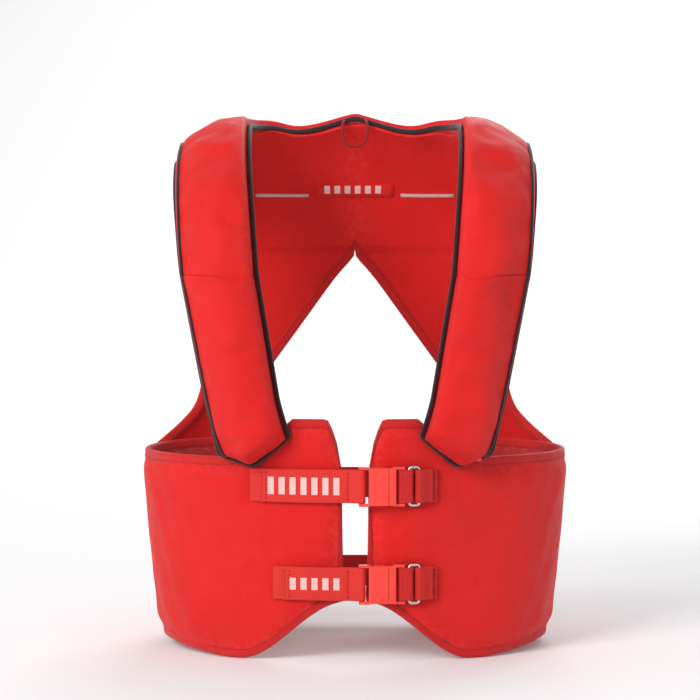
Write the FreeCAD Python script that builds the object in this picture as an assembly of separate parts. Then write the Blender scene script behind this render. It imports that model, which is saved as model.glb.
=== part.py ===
import FreeCAD, Part
import math
import os

# Inflatable life jacket with a wide waist band, in millimetres.
# The front faces -Y, +X is the wearer's left side and +Z is up.
# The origin lies on the wearer's vertical axis, level with the lowest hem.

Vector = FreeCAD.Vector

# Waist band: the front is a round arc about the centre-back line, so the
# closures on it slide round that line when the front is opened.
front_radius = 222.0
centre_back_y = 108.0
widest_y = 2.0
back_face_y = 98.0
hem_half_angle = 22.7
rim_half_angle = 37.0
band_height = 181.0
band_rim_z = 150.0
band_thickness = 9.0
cover_thickness = 1.2
lining_thickness = 1.2
binding_width = 3.2
front_gap = 10.5
back_gap = 52.0

# Shoulder arch that the lobes and the yoke lie on.
front_spring_z = 290.0
back_spring_z = 300.0
arch_top_z = 426.0
shoulder_slope = 0.405
neck_rise = 9.0
neck_rise_x = 68.0
neck_rise_width = 18.0
outward_lean = 0.3

# Lobes: crowned casings from the chest over the shoulders to the nape.
lobe_clear = 1.0
lobe_bottom = -146.0
tip_round = 28.0
tip_thickness = 26.0
chest_thickness = 31.0
shoulder_thickness = 20.0
nape_thickness = 13.0
casing_wall = 1.6
backing_thickness = 1.2
flap_thickness = 1.8
edge_width = 2.6
edge_height = 5.0
edge_clear = 0.3
seam_height = 8.6
flap_clear = 0.4
bladder_clear = 3.2

# Hem: it lies low round the sides and sweeps up to the closures in front.
lowest_hem = 2.0
arch_rise = 45.0
arch_start = 6.0
arch_width = 86.0

# Back yoke, its binding tape and the loop that hangs from the collar.
yoke_thickness = 2.5
tape_proud = 0.35
tape_gap = 0.05
loop_radius = 11.0
loop_width = 3.0
loop_thickness = 1.6

# Webbing, closures and back belts. Places on the front closures are arc
# lengths from the centre line and heights above the band.
webbing_width = 25.0
webbing_thickness = 1.6
upper_strap_z = 132.5
lower_strap_z = 59.0
upper_strap_end = -80.0
lower_strap_end = -62.0
upper_belt_z = 114.0
lower_belt_z = 42.0
belt_reach = 70.0
slider_left = -38.0
slider_width = 20.0
slider_depth = 6.0
slider_height = 31.0
slider_window = 6.0
slider_bar = 2.4
sewn_gap = 0.3
buckle_height = 28.0
cheek_thickness = 2.0
cheek_proud = 0.8
bar_height = 4.3
bar_radius = 1.2
socket_bar = 4.6
plug_bar = 33.8
ring_near_bar = 39.8
ring_far_bar = 47.4
ring_height = 31.0

# Inflation parts inside the lobes, in the lobe's own frame: u outwards
# across it, n off the chest and t up along it from the tip.
cylinder_radius = 12.2
cylinder_u = -6.0
cylinder_n = 15.1
neck_radius = 6.0
shoulder_length = 8.0
cap_radius = 8.0
cap_bottom = 9.0
toggle_bottom = 0.4
toggle_top = 8.4
head_bottom = 20.0
head_top = 46.0
cylinder_top = 150.0
lever_pivot_u = 9.5
lever_pivot_t = 41.0
tube_radius = 7.0
tube_n = 11.6
valve_radius = 9.0
valve_bottom = 100.0
valve_top = 118.0

half_gap = 0.2


def mirrored(shape):
    """Return the same piece for the wearer's right side."""
    return shape.mirror(Vector(0, 0, 0), Vector(1, 0, 0))


def save(name, shapes):
    """Write one node, made of one or more closed solids."""
    solids = shapes if isinstance(shapes, list) else [shapes]
    solids = [solid for shape in solids for solid in shape.Solids]
    for solid in solids:
        assert solid.isValid() and solid.Volume > 0, name
    shape = solids[0] if len(solids) == 1 else Part.makeCompound(solids)
    shape.exportStep("parts/" + name + ".step")


def save_pair(name, shapes):
    """Write a left piece and its mirrored right twin."""
    shapes = shapes if isinstance(shapes, list) else [shapes]
    save("left_" + name, shapes)
    save("right_" + name, [mirrored(shape) for shape in shapes])


# ---------------------------------------------------------------- surfaces

def shoulder_drop(x):
    """Fall of the shoulder line below its height at the centre."""
    hump = math.exp(-((x - neck_rise_x) / neck_rise_width) ** 2)
    return shoulder_slope * x - neck_rise * hump


def front_drop(x):
    """How far the front has curved back at this distance from the centre."""
    return front_radius - math.sqrt(front_radius ** 2 - x ** 2)


def back_drop(x):
    """How far the back has curved forward at this distance from the centre."""
    corner = back_face_y - widest_y
    start = 70.0
    if x <= start:
        return 0.0
    return corner - math.sqrt(corner ** 2 - (x - start) ** 2)


def surface(x, s):
    """Point of the jacket's outer surface.

    s is minus the millimetres below the front spring line on the chest,
    0 to 180 degrees over the shoulder, and 180 plus the millimetres below
    the back spring line on the back.
    """
    angle = math.radians(min(max(s, 0.0), 180.0))
    front = math.cos(angle) >= 0
    depth = front_radius - centre_back_y if front else back_face_y
    spring = front_spring_z if front else back_spring_z
    drop = front_drop(x) if front else back_drop(x)
    y = -depth * math.cos(angle) + drop * math.cos(angle)
    z = spring + (arch_top_z - spring) * math.sin(angle)
    z -= shoulder_drop(x) * math.sin(angle)
    z += min(s, 0.0) - max(s - 180.0, 0.0)
    return Vector(x, y, z)


def outward(x, s):
    """Direction in which padding stands off the surface."""
    step = 0.5
    across = surface(x + step, s) - surface(max(x - step, 0.0), s)
    along = surface(x, s + step) - surface(x, s - step)
    normal = across.cross(along)
    normal.x *= outward_lean
    return normal.normalize()


def point(x, s, n):
    """Point at height n above the surface."""
    return surface(x, s) + outward(x, s) * n


def skin_solid(rows):
    """Closed solid between two skins, with flat triangles for faces.

    Each row is a station: a list of (under, over) pairs of points across it.
    """
    width = len(rows[0])
    points = [side for row in rows for pair in row for side in pair]

    def index(row, pair, side):
        return 2 * (row * width + pair) + side

    quads = []
    last_row = len(rows) - 1
    last_pair = width - 1
    for i in range(last_row):
        for j in range(last_pair):
            for side in (0, 1):
                quad = [index(i, j, side), index(i, j + 1, side),
                        index(i + 1, j + 1, side), index(i + 1, j, side)]
                quads.append(quad if side else quad[::-1])
        for j, flip in ((0, False), (last_pair, True)):
            quad = [index(i, j, 0), index(i, j, 1), index(i + 1, j, 1), index(i + 1, j, 0)]
            quads.append(quad[::-1] if flip else quad)
    for j in range(last_pair):
        for i, flip in ((0, True), (last_row, False)):
            quad = [index(i, j, 0), index(i, j, 1), index(i, j + 1, 1), index(i, j + 1, 0)]
            quads.append(quad[::-1] if flip else quad)
    triangles = []
    for a, b, c, d in quads:
        triangles += [(a, b, c), (a, c, d)]
    shape = Part.Shape()
    shape.makeShapeFromMesh((points, triangles), 0.001)
    solid = Part.makeSolid(shape)
    if solid.Volume < 0:
        solid.reverse()
    return solid


# --------------------------------------------------------------- waist band

def ring_wire(z, n):
    """Left half of the band's plan outline at a height, offset by n."""
    turn = hem_half_angle + (rim_half_angle - hem_half_angle) * z / band_height
    a = math.radians(turn)
    side = front_radius - (centre_back_y - widest_y) / math.cos(a)
    rear = back_face_y - widest_y
    side_centre = Vector((front_radius - side) * math.sin(a), widest_y, z)
    rear_centre = Vector(side_centre.x + side - rear, widest_y, z)
    hinge = Vector(0, centre_back_y, z)

    def on(centre, radius, degrees):
        t = math.radians(degrees)
        return centre + Vector(math.sin(t), -math.cos(t), 0) * radius

    front = front_radius + n
    first = on(hinge, front, 0)
    second = on(hinge, front, turn)
    third = on(side_centre, side + n, 90)
    fourth = on(rear_centre, rear + n, 180)
    edges = [
        Part.Arc(first, on(hinge, front, turn / 2), second).toShape(),
        Part.Arc(second, on(side_centre, side + n, (turn + 90) / 2), third).toShape(),
        Part.Arc(third, on(rear_centre, rear + n, 135), fourth).toShape(),
        Part.makeLine(fourth, Vector(0, fourth.y, z)),
        Part.makeLine(Vector(0, fourth.y, z), first),
    ]
    return Part.Wire(edges)


def band_shell(inner, outer):
    """Wall of the left band half between two offsets."""
    body = Part.makeLoft([ring_wire(0, outer), ring_wire(band_height, outer)], True, True)
    hole = Part.makeLoft([ring_wire(0, inner), ring_wire(band_height, inner)], True, True)
    return body.cut(hole)


def outline_prism(points, y0, y1, inset=0.0):
    """Prism along Y of a closed outline given as (x, z), inset all round."""
    corners = [Vector(x, y0, z) for x, z in points]
    wire = Part.makePolygon(corners + corners[:1])
    if inset:
        wire = wire.makeOffset2D(-inset, 0, False, False, False)
    return Part.Face(wire).extrude(Vector(0, y1 - y0, 0))


def hem_arch(x):
    """Height of the front hem, which sweeps up to the centre closure."""
    share = min(max((x - arch_start) / arch_width, 0.0), 1.0)
    return lowest_hem + arch_rise * (0.5 + 0.5 * math.cos(math.pi * share))


def front_outline():
    """Front of the band half: centre edge, tab, rim, side and arched hem."""
    tab = [(front_gap, hem_arch(front_gap)), (front_gap, 144.0), (20.0, 180.0)]
    rim = [(50.0, 180.0), (60.0, 168.0), (74.0, 154.0), (100.0, band_rim_z)]
    side = [(185.0, band_rim_z), (185.0, 8.0), (152.0, 8.0), (140.0, 5.0)]
    hem = [(x, hem_arch(x)) for x in (112.0, 92.0, 78.0, 66.0, 56.0, 46.0, 36.0, 24.0)]
    return tab + rim + side + hem


def back_outline():
    """Back of the band half: rounded inner end, rim, side and hem."""
    end = [(back_gap + 14.0, 12.0), (back_gap, 26.0), (back_gap, 134.0)]
    rim = [(back_gap + 14.0, band_rim_z), (185.0, band_rim_z)]
    return end + rim + [(185.0, 8.0), (140.0, 8.0)]


def band_piece(inner, outer, inset):
    """One layer of the band half, cut to its front and back outlines."""
    shell = band_shell(inner, outer)
    front = outline_prism(front_outline(), -160.0, 0.0, inset)
    back = outline_prism(back_outline(), 0.0, 130.0, inset)
    return shell.common(front.fuse(back)).removeSplitter()


def waist_band():
    core_outer = -cover_thickness
    core_inner = -band_thickness + lining_thickness
    save_pair("band_cover", band_piece(core_outer, 0.0, binding_width))
    save_pair("band_foam", band_piece(core_inner, core_outer, binding_width))
    save_pair("band_lining", band_piece(-band_thickness, core_inner, binding_width))
    full = band_piece(-band_thickness, 0.0, 0.0)
    inside = band_piece(-band_thickness - 2.0, 2.0, binding_width)
    save_pair("band_binding", full.cut(inside))


# -------------------------------------------------------------------- lobes

# Stations of a lobe from its lower tip over the shoulder to the nape:
# (inner x, inner s, outer x, outer s).
flap_stations = [
    (48.7, lobe_bottom, 102.4, lobe_bottom),
    (57.7, -92.0, 113.0, -92.0),
    (65.3, -46.0, 122.0, -46.0),
    (73.0, 0.0, 131.0, 0.0),
]
shoulder_stations = [
    (76.0, 20.0, 134.0, 20.0),
    (79.0, 45.0, 137.0, 45.0),
    (80.0, 68.0, 138.0, 68.0),
    (80.0, 88.0, 138.0, 90.0),
    (78.0, 101.0, 134.0, 112.0),
    (70.0, 112.0, 118.0, 132.0),
    (54.0, 118.0, 88.0, 148.0),
    (30.0, 121.0, 46.0, 156.0),
    (half_gap, 122.0, half_gap, 159.0),
]
crown_shares = (0.0, 0.1, 0.26, 0.5, 0.74, 0.9, 1.0)


def lobe_thickness(s):
    """Padding height: full on the chest, thinner at the tip and the nape."""
    if s <= 0:
        share = min((s - lobe_bottom) / tip_round, 1.0)
        return tip_thickness + (chest_thickness - tip_thickness) * share
    if s <= 90:
        share = (1 - math.cos(math.radians(2 * s))) / 2
        return chest_thickness + (shoulder_thickness - chest_thickness) * share
    share = min((s - 90.0) / 50.0, 1.0)
    return shoulder_thickness + (nape_thickness - shoulder_thickness) * share


def crown(station, share):
    """Height of the casing's outside across the lobe, round like a bolster."""
    rise = max(1.0 - abs(2.0 * share - 1.0) ** 2.6, 0.0) ** 0.6
    return seam_height + (lobe_thickness(station[1]) - seam_height) * rise


def lobe_point(station, share, n):
    """Point across a station, from 0 at its inner to 1 at its outer edge."""
    x = station[0] + (station[2] - station[0]) * share
    s = station[1] + (station[3] - station[1]) * share
    return point(x, s, n)


def station_width(station):
    return (lobe_point(station, 1.0, 0.0) - lobe_point(station, 0.0, 0.0)).Length


def finer(stations):
    """Stations with extra ones between, so that flat faces stay close."""
    result = [stations[0]]
    for before, after in zip(stations, stations[1:]):
        arch_turn = max(after[1], after[3], 0.0) - max(min(before[1], before[3]), 0.0)
        steps = max(math.ceil(arch_turn / 9.0), 1)
        for step in range(1, steps + 1):
            result.append(tuple(a + (b - a) * step / steps for a, b in zip(before, after)))
    return result


def lobe_layer(stations, left, right, low, high):
    """Layer along the lobe between two heights. left and right are its edges
    in millimetres: from the inner edge, or when negative from the outer."""
    rows = []
    for station in finer(stations):
        width = station_width(station)
        first = left / width + (1.0 if left < 0 else 0.0)
        last = right / width + (0.0 if right > 0 else 1.0)
        row = []
        for share in crown_shares:
            across = first + (last - first) * share
            row.append((lobe_point(station, across, low(station, across)),
                        lobe_point(station, across, high(station, across))))
        rows.append(row)
    return skin_solid(rows)


def casing_roof(stations):
    """Crowned roof with side walls down to the backing, open underneath."""
    rows = []
    floor = lobe_clear + backing_thickness
    for station in finer(stations):
        width = station_width(station)
        edge = (edge_width + edge_clear) / width
        wall = (edge_width + edge_clear + casing_wall) / width
        row = [(lobe_point(station, wall, floor), lobe_point(station, edge, floor))]
        for share in crown_shares:
            over = edge + (1 - 2 * edge) * share
            under = wall + (1 - 2 * wall) * share
            height = crown(station, over)
            row.append((lobe_point(station, under, height - casing_wall),
                        lobe_point(station, over, height)))
        row.append((lobe_point(station, 1 - wall, floor), lobe_point(station, 1 - edge, floor)))
        rows.append(row)
    return skin_solid(rows)


def trimmed(shape):
    """Trim the lobe's lower end to a blunt point, given as (x, z)."""
    tip, inner_corner, outer_corner = (76.0, 146.0), (50.0, 168.0), (110.0, 157.0)
    far_side, near_side, bottom = 150.0, 30.0, 100.0
    outer = [tip, outer_corner, (far_side, outer_corner[1]), (far_side, bottom), (tip[0], bottom)]
    inner = [tip, (tip[0], bottom), (near_side, bottom), (near_side, inner_corner[1]), inner_corner]
    for corners in (outer, inner):
        shape = shape.cut(outline_prism(corners, -200.0, 0.0))
    return shape


def lobes():
    everything = flap_stations + shoulder_stations
    fixed = flap_stations[-1:] + shoulder_stations
    floor = lobe_clear + backing_thickness
    wall_top = seam_height - flap_thickness - flap_clear
    flap_top = front_spring_z - 0.5

    backing = lobe_layer(everything, edge_width, -edge_width,
                         lambda *at: lobe_clear, lambda *at: floor)
    save_pair("lobe_backing", trimmed(backing))

    tapes = [lobe_layer(everything, left, right, lambda *at: lobe_clear, lambda *at: edge_height)
             for left, right in ((0.0, edge_width), (-edge_width, 0.0))]
    save_pair("lobe_binding", [trimmed(tape) for tape in tapes])

    outer_foot = edge_width + edge_clear
    foot = outer_foot + casing_wall
    kerb_stations = flap_stations[:-1] + [(72.9, -0.5, 130.9, -0.5)]
    casing = [casing_roof(fixed)]
    for left, right in ((outer_foot, foot), (-foot, -outer_foot)):
        kerb = lobe_layer(kerb_stations, left, right, lambda *at: floor, lambda *at: wall_top)
        casing.append(trimmed(kerb))
    save_pair("lobe_casing", casing)

    flap = lobe_layer(flap_stations, edge_width, -edge_width,
                      lambda station, share: crown(station, share) - flap_thickness, crown)
    below = outline_prism([(0, 0), (0, flap_top), (200, flap_top), (200, 0)], -200.0, 0.0)
    save_pair("lobe_flap", trimmed(flap).common(below))


def bladder():
    """Folded air bladder: beside the inflator in the chest, full width above."""
    beside_start, full_start, end, steps = 0.73, 0.14, 0.86, 5
    above_head = (76.0, 20.0, 134.0, 20.0)
    beside = flap_stations[1:3] + [(74.5, 9.0, 132.5, 9.0)]
    stops = [(beside_start, station) for station in beside]
    stops += [(full_start, station) for station in finer([above_head] + shoulder_stations[1:])]
    rows = []
    for first, station in stops:
        row = []
        for step in range(steps + 1):
            share = first + (end - first) * step / steps
            row.append((lobe_point(station, share, bladder_clear),
                        lobe_point(station, share, crown(station, share) - bladder_clear)))
        rows.append(row)
    save_pair("bladder", skin_solid(rows))


# --------------------------------------------------------------------- yoke

# Rows of the back yoke, from the shoulder line down the leg to the band:
# (s, inner x, outer x). Inner x leaves the neckline, the centre line and
# then the V of the open back.
yoke_rows = [
    (82.0, 81.0, 136.0),
    (100.0, 79.5, 137.0),
    (110.0, 74.0, 136.0),
    (117.0, 56.0, 134.0),
    (121.0, 30.0, 133.0),
    (123.5, half_gap, 132.0),
    (140.0, half_gap, 129.0),
    (160.0, half_gap, 126.0),
    (177.0, half_gap, 124.0),
    (200.0, 18.5, 122.0),
    (240.0, 47.5, 119.5),
    (275.0, 73.0, 121.0),
    (300.0, 91.0, 127.0),
    (315.0, 102.0, 139.0),
    (329.6, 112.0, 157.0),
]


def finer_rows(rows):
    """Yoke rows with extra ones between them over the arch."""
    result = [rows[0]]
    for before, after in zip(rows, rows[1:]):
        steps = max(math.ceil((after[0] - before[0]) / 10.0), 1)
        if before[0] >= 180.0:
            steps = 1
        for step in range(1, steps + 1):
            result.append(tuple(a + (b - a) * step / steps for a, b in zip(before, after)))
    return result


def yoke_layer(rows, low, high, from_inner, from_outer):
    """Strip of the yoke, given its insets from the two edges."""
    skin = []
    for s, inner, outer in finer_rows(rows):
        first = from_inner(inner, outer)
        last = from_outer(inner, outer)
        row = []
        for step in range(7):
            x = first + (last - first) * step / 6
            row.append((point(x, s, low), point(x, s, high)))
        skin.append(row)
    return skin_solid(skin)


def yoke():
    """Cloth of the yoke, the tapes along its armholes and its V, and the loop."""
    tape = binding_width
    inset = tape + tape_gap
    under = -yoke_thickness - tape_proud - 0.15
    vee_rows = [row for row in yoke_rows if row[0] > 177.0]
    save_pair("yoke", yoke_layer(
        yoke_rows, -yoke_thickness, 0.0,
        lambda inner, outer: inner + (inset if inner > 1 else 0.0),
        lambda inner, outer: outer - inset))
    armhole = yoke_layer(yoke_rows, under, tape_proud,
                         lambda inner, outer: outer - tape, lambda inner, outer: outer)
    vee = yoke_layer(vee_rows, under, tape_proud,
                     lambda inner, outer: inner, lambda inner, outer: inner + tape)
    save_pair("yoke_binding", [armhole, vee])

    centre, backwards = Vector(0, 43.0, 397.0), Vector(0, 1, 0)
    ring = Part.makeCylinder(loop_radius, loop_thickness, centre, backwards)
    hole = Part.makeCylinder(loop_radius - loop_width, loop_thickness, centre, backwards)
    save("hanging_loop", ring.cut(hole))


# ----------------------------------------------------- webbing and closures

def on_front(a, n, z=0.0):
    """Point above the band's round front, at arc length a from its centre."""
    angle = a / front_radius
    radius = front_radius + n
    return Vector(radius * math.sin(angle), centre_back_y - radius * math.cos(angle), z)


def front_block(a0, a1, n0, n1, z0, z1):
    """Block that follows the band's round front."""
    steps = max(int(abs(a1 - a0) / 6.0), 1)
    path = [a0 + (a1 - a0) * i / steps for i in range(steps + 1)]
    corners = [on_front(a, n0, z0) for a in path]
    corners += [on_front(a, n1, z0) for a in reversed(path)]
    return Part.Face(Part.makePolygon(corners + corners[:1])).extrude(Vector(0, 0, z1 - z0))


def bar_at(a, n, radius, z0, z1):
    """Round bar standing along Z above the band's front."""
    return Part.makeCylinder(radius, z1 - z0, on_front(a, n, z0))


def webbing_loop(a0, a1, z, inner):
    """Closed band of webbing round two bars."""
    z0 = z - webbing_width / 2
    z1 = z + webbing_width / 2
    outer = inner + webbing_thickness
    low, high = bar_height - outer, bar_height + outer
    body = front_block(a0, a1, low, high, z0, z1)
    hole = front_block(a0, a1, bar_height - inner, bar_height + inner, z0, z1)
    for a in (a0, a1):
        body = body.fuse(bar_at(a, bar_height, outer, z0, z1))
        hole = hole.fuse(bar_at(a, bar_height, inner, z0, z1))
    return body.cut(hole)


def strap_to_bar(end, bar, z):
    """Webbing sewn flat on the band, round a bar and back over itself."""
    z0 = z - webbing_width / 2
    z1 = z + webbing_width / 2
    inner = bar_radius + 0.35
    outer = inner + webbing_thickness
    side = 1.0 if bar > end else -1.0
    fold = bar - side * 4.0
    tail_end = end + side * 8.0
    seam = sewn_gap + webbing_thickness
    flat = front_block(*sorted((end, fold)), sewn_gap, seam, z0, z1)
    back = front_block(*sorted((tail_end, fold)), seam, seam + webbing_thickness, z0, z1)
    bend = front_block(*sorted((fold, bar)), bar_height - outer, bar_height + outer, z0, z1)
    bend = bend.fuse(bar_at(bar, bar_height, outer, z0, z1))
    hole = front_block(*sorted((fold + side * webbing_thickness, bar)),
                       bar_height - inner, bar_height + inner, z0, z1)
    hole = hole.fuse(bar_at(bar, bar_height, inner, z0, z1))
    return flat.fuse(back).fuse(bend.cut(hole)).removeSplitter()


def with_bar(body, start, end, bar, low, high, z):
    """Add the two cheeks at a buckle half's ends, and the bar between them."""
    half = buckle_height / 2
    for level in (half + cheek_proud - cheek_thickness, -half - cheek_proud):
        body = body.fuse(front_block(start, end, low, high, z + level, z + level + cheek_thickness))
    body = body.fuse(bar_at(bar, bar_height, bar_radius, z - half, z + half))
    return body.removeSplitter()


def buckle_socket(z):
    """Female half: a shell with side windows and a bar for its webbing."""
    start, end, floor, roof, wall = 10.0, 24.0, 0.6, 9.8, 2.0
    window_start, window_end, window_ease = 13.2, 20.5, 0.4
    half = buckle_height / 2
    shell = front_block(start, end, floor, roof, z - half, z + half)
    cavity = front_block(start + wall, end + 1.0, floor + wall, roof - wall,
                         z - half + wall, z + half - wall)
    window = front_block(window_start, window_end, floor + wall - window_ease,
                         roof - wall + window_ease, z - half - 1.0, z + half + 1.0)
    shell = shell.cut(cavity).cut(window)
    return with_bar(shell, 2.6, start + 1.0, socket_bar, 1.6, 7.6, z)


def buckle_plug(z):
    """Male half: stop flange, guide tongue and a bar for its webbing."""
    flange_start, flange_end, tongue_start, tongue_half = 24.4, 29.4, 15.0, 3.0
    half = buckle_height / 2
    body = front_block(flange_start, flange_end, 0.8, 9.6, z - half, z + half)
    tongue = front_block(tongue_start, flange_start + 0.6, 3.4, 7.0, z - tongue_half, z + tongue_half)
    return with_bar(body.fuse(tongue), flange_end - 1.4, 36.0, plug_bar, 1.8, 7.2, z)


def buckle_arm(z, side):
    """Spring arm of the male half, with the catch that fills the window."""
    low, high = 3.2, 7.2
    arm_inner, arm_outer, catch_outer = 7.4, 10.6, 13.6
    inner, outer = sorted((side * arm_inner, side * arm_outer))
    arm = front_block(13.6, 24.1, low, high, z + inner, z + outer)
    inner, outer = sorted((side * (arm_outer - 0.6), side * catch_outer))
    catch = front_block(14.0, 19.8, low, high, z + inner, z + outer)
    return arm.fuse(catch).removeSplitter()


def steel_ring(z):
    """Rectangular ring of round steel wire."""
    low = z - ring_height / 2 + bar_radius
    high = z + ring_height / 2 - bar_radius
    near = bar_at(ring_near_bar, bar_height, bar_radius, low, high)
    far = bar_at(ring_far_bar, bar_height, bar_radius, low, high)
    ring = near.fuse(far)
    for level in (low, high):
        start = on_front(ring_near_bar, bar_height, level)
        end = on_front(ring_far_bar, bar_height, level)
        ring = ring.fuse(Part.makeCylinder(bar_radius, (end - start).Length, start, end - start))
        ring = ring.fuse(Part.makeSphere(bar_radius, start))
        ring = ring.fuse(Part.makeSphere(bar_radius, end))
    return ring


def closures():
    for name, z, end in (("upper", upper_strap_z, upper_strap_end),
                         ("lower", lower_strap_z, lower_strap_end)):
        save(name + "_strap", strap_to_bar(end, socket_bar, z))
        save(name + "_buckle_socket", buckle_socket(z))
        save(name + "_buckle_plug", buckle_plug(z))
        save(name + "_buckle_arm_top", buckle_arm(z, 1.0))
        save(name + "_buckle_arm_bottom", buckle_arm(z, -1.0))
        save(name + "_link", webbing_loop(plug_bar, ring_near_bar, z, bar_radius + 0.35))
        save(name + "_ring", steel_ring(z))
        save(name + "_tab", strap_to_bar(62.0, ring_far_bar, z))


# --------------------------------------------------------------- back belts

def back_slider(z):
    """Sliding adjuster: a frame with two windows and a channel for the belt."""
    face = back_face_y + sewn_gap
    front, rear = face - 2.2, face + slider_depth
    slot_height = webbing_width + 0.8
    low = z - slot_height / 2
    slider = Part.makeBox(slider_width, slider_depth, slider_height,
                          Vector(slider_left, front, z - slider_height / 2))
    channel = Part.makeBox(slider_width + 2.0, webbing_thickness + 0.6, slot_height,
                           Vector(slider_left - 1.0, face - 0.3, low))
    slider = slider.cut(channel)
    for left in (slider_left + slider_bar, slider_left + slider_width - slider_bar - slider_window):
        window = Part.makeBox(slider_window, rear - front, slot_height, Vector(left, front - 1.0, low))
        slider = slider.cut(window)
    return slider


def back_belts():
    for name, z in (("upper", upper_belt_z), ("lower", lower_belt_z)):
        belt = Part.makeBox(belt_reach - half_gap, webbing_thickness, webbing_width,
                            Vector(half_gap, back_face_y + sewn_gap, z - webbing_width / 2))
        save(name + "_back_belt_left", belt)
        save(name + "_back_belt_right", mirrored(belt))
        save(name + "_back_adjuster", back_slider(z))


# ---------------------------------------------------------- inflation parts

def lobe_placement():
    """Placement whose axes run across, into and up the straight lobe."""
    foot = (50.0, -138.0, 104.0, -138.0)
    low = lobe_point(foot, 0.5, 0.0)
    high = lobe_point(flap_stations[-1], 0.5, 0.0)
    up = (high - low).normalize()
    middle = flap_stations[1]
    across = lobe_point(middle, 1.0, 0.0) - lobe_point(middle, 0.0, 0.0)
    inward = up.cross(across).normalize()
    across = inward.cross(up)
    return FreeCAD.Placement(low, FreeCAD.Rotation(across, inward, up, "ZXY"))


def block(u0, u1, n0, n1, t0, t1):
    return Part.makeBox(u1 - u0, n1 - n0, t1 - t0, Vector(u0, -n1, t0))


def rod(u, n, radius, t0, t1):
    return Part.makeCylinder(radius, t1 - t0, Vector(u, -n, t0))


def placed(shape):
    shape.Placement = lobe_placement().multiply(shape.Placement)
    return shape


def cross_pin(radius, n, length):
    """Rod at the lever's pivot, from n off the chest towards it."""
    return Part.makeCylinder(radius, length, Vector(lever_pivot_u, -n, lever_pivot_t), Vector(0, 1, 0))


def inflator_head():
    """Moulded body with the neck's bore, and the lug that holds the lever's pin."""
    half, low, high, neck_depth = 11.0, 3.4, 24.6, 12.0
    lug_low, lug_high, lug_reach = 12.4, 16.0, 3.0
    body = block(cylinder_u - half, cylinder_u + half, low, high, head_bottom, head_top)
    body = body.makeFillet(3.0, body.Edges)
    body = body.cut(rod(cylinder_u, cylinder_n, neck_radius + 0.4, head_top - neck_depth, head_top + 1.0))
    lug = block(cylinder_u + half - 1.0, lever_pivot_u + lug_reach, lug_low, lug_high,
                lever_pivot_t - 4.0, head_top - 1.0)
    pin = cross_pin(1.5, 15.0, 10.6).cut(lug)
    save("inflator_body", placed(body.fuse(lug)))
    save("lever_pin", placed(pin))


def pull_parts():
    """Lever on its pin, the cord that pulls it and the toggle on the cord."""
    lever_half, lever_length, lever_end, cord_radius, cord_n = 2.4, 20.0, 3.0, 1.5, 8.4
    lever = block(lever_pivot_u - lever_half, lever_pivot_u + lever_half, 5.0, 11.6,
                  lever_pivot_t - lever_length, lever_pivot_t + lever_end)
    save("inflator_lever", placed(lever.cut(cross_pin(1.7, 14.0, 20.0))))
    toggle = block(-4.0, 15.0, 5.6, 11.2, toggle_bottom, toggle_top)
    save("pull_toggle", placed(toggle.makeFillet(2.0, toggle.Edges)))
    cord_top = lever_pivot_t - lever_length - 0.4
    save("pull_cord", placed(rod(lever_pivot_u, cord_n, cord_radius, toggle_top, cord_top)))


def gas_bottle():
    """Steel bottle with two cone shoulders, screwed into the head by its neck."""
    u, n = cylinder_u, cylinder_n
    neck_top = head_top + 1.0
    shoulder_top = neck_top + shoulder_length
    end_bottom = cylinder_top - shoulder_length
    bottle = rod(u, n, cylinder_radius, shoulder_top, end_bottom)
    bottle = bottle.fuse(Part.makeCone(neck_radius, cylinder_radius, shoulder_length,
                                       Vector(u, -n, neck_top)))
    bottle = bottle.fuse(rod(u, n, neck_radius, head_top - 11.0, neck_top))
    bottle = bottle.fuse(Part.makeCone(cylinder_radius, neck_radius, shoulder_length,
                                       Vector(u, -n, end_bottom)))
    save("gas_cylinder", placed(bottle.removeSplitter()))
    cap = rod(u, n, cap_radius, cap_bottom, head_bottom)
    save("auto_cartridge", placed(cap.makeFillet(1.5, cap.Edges[:1])))


def oral_tube():
    """Tube with the valve that is blown into, the valve's poppet, and the whistle."""
    u, tube_bottom, bore, poppet = -1.0, 24.0, 5.0, 4.6
    tube = rod(u, tube_n, tube_radius, tube_bottom, valve_bottom)
    valve = rod(u, tube_n, valve_radius - 0.5, valve_bottom, valve_top)
    valve = valve.cut(rod(u, tube_n, bore, valve_top - 9.0, valve_top + 1))
    button = rod(u, tube_n, poppet, valve_top - 4.5, valve_top + 3.0)
    whistle = block(-21.0, -10.5, 3.0, 13.0, 40.0, 84.0)
    whistle = whistle.makeFillet(3.0, whistle.Edges)
    save("oral_tube", mirrored(placed(tube)))
    save("oral_valve", mirrored(placed(valve)))
    save("oral_valve_button", mirrored(placed(button)))
    save("whistle", mirrored(placed(whistle)))


# --------------------------------------------------------------------- main

def main():
    os.makedirs("parts", exist_ok=True)
    waist_band()
    lobes()
    bladder()
    yoke()
    closures()
    back_belts()
    inflator_head()
    pull_parts()
    gas_bottle()
    oral_tube()


main()
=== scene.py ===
import math

import bmesh
import bpy
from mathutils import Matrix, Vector, noise


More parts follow.
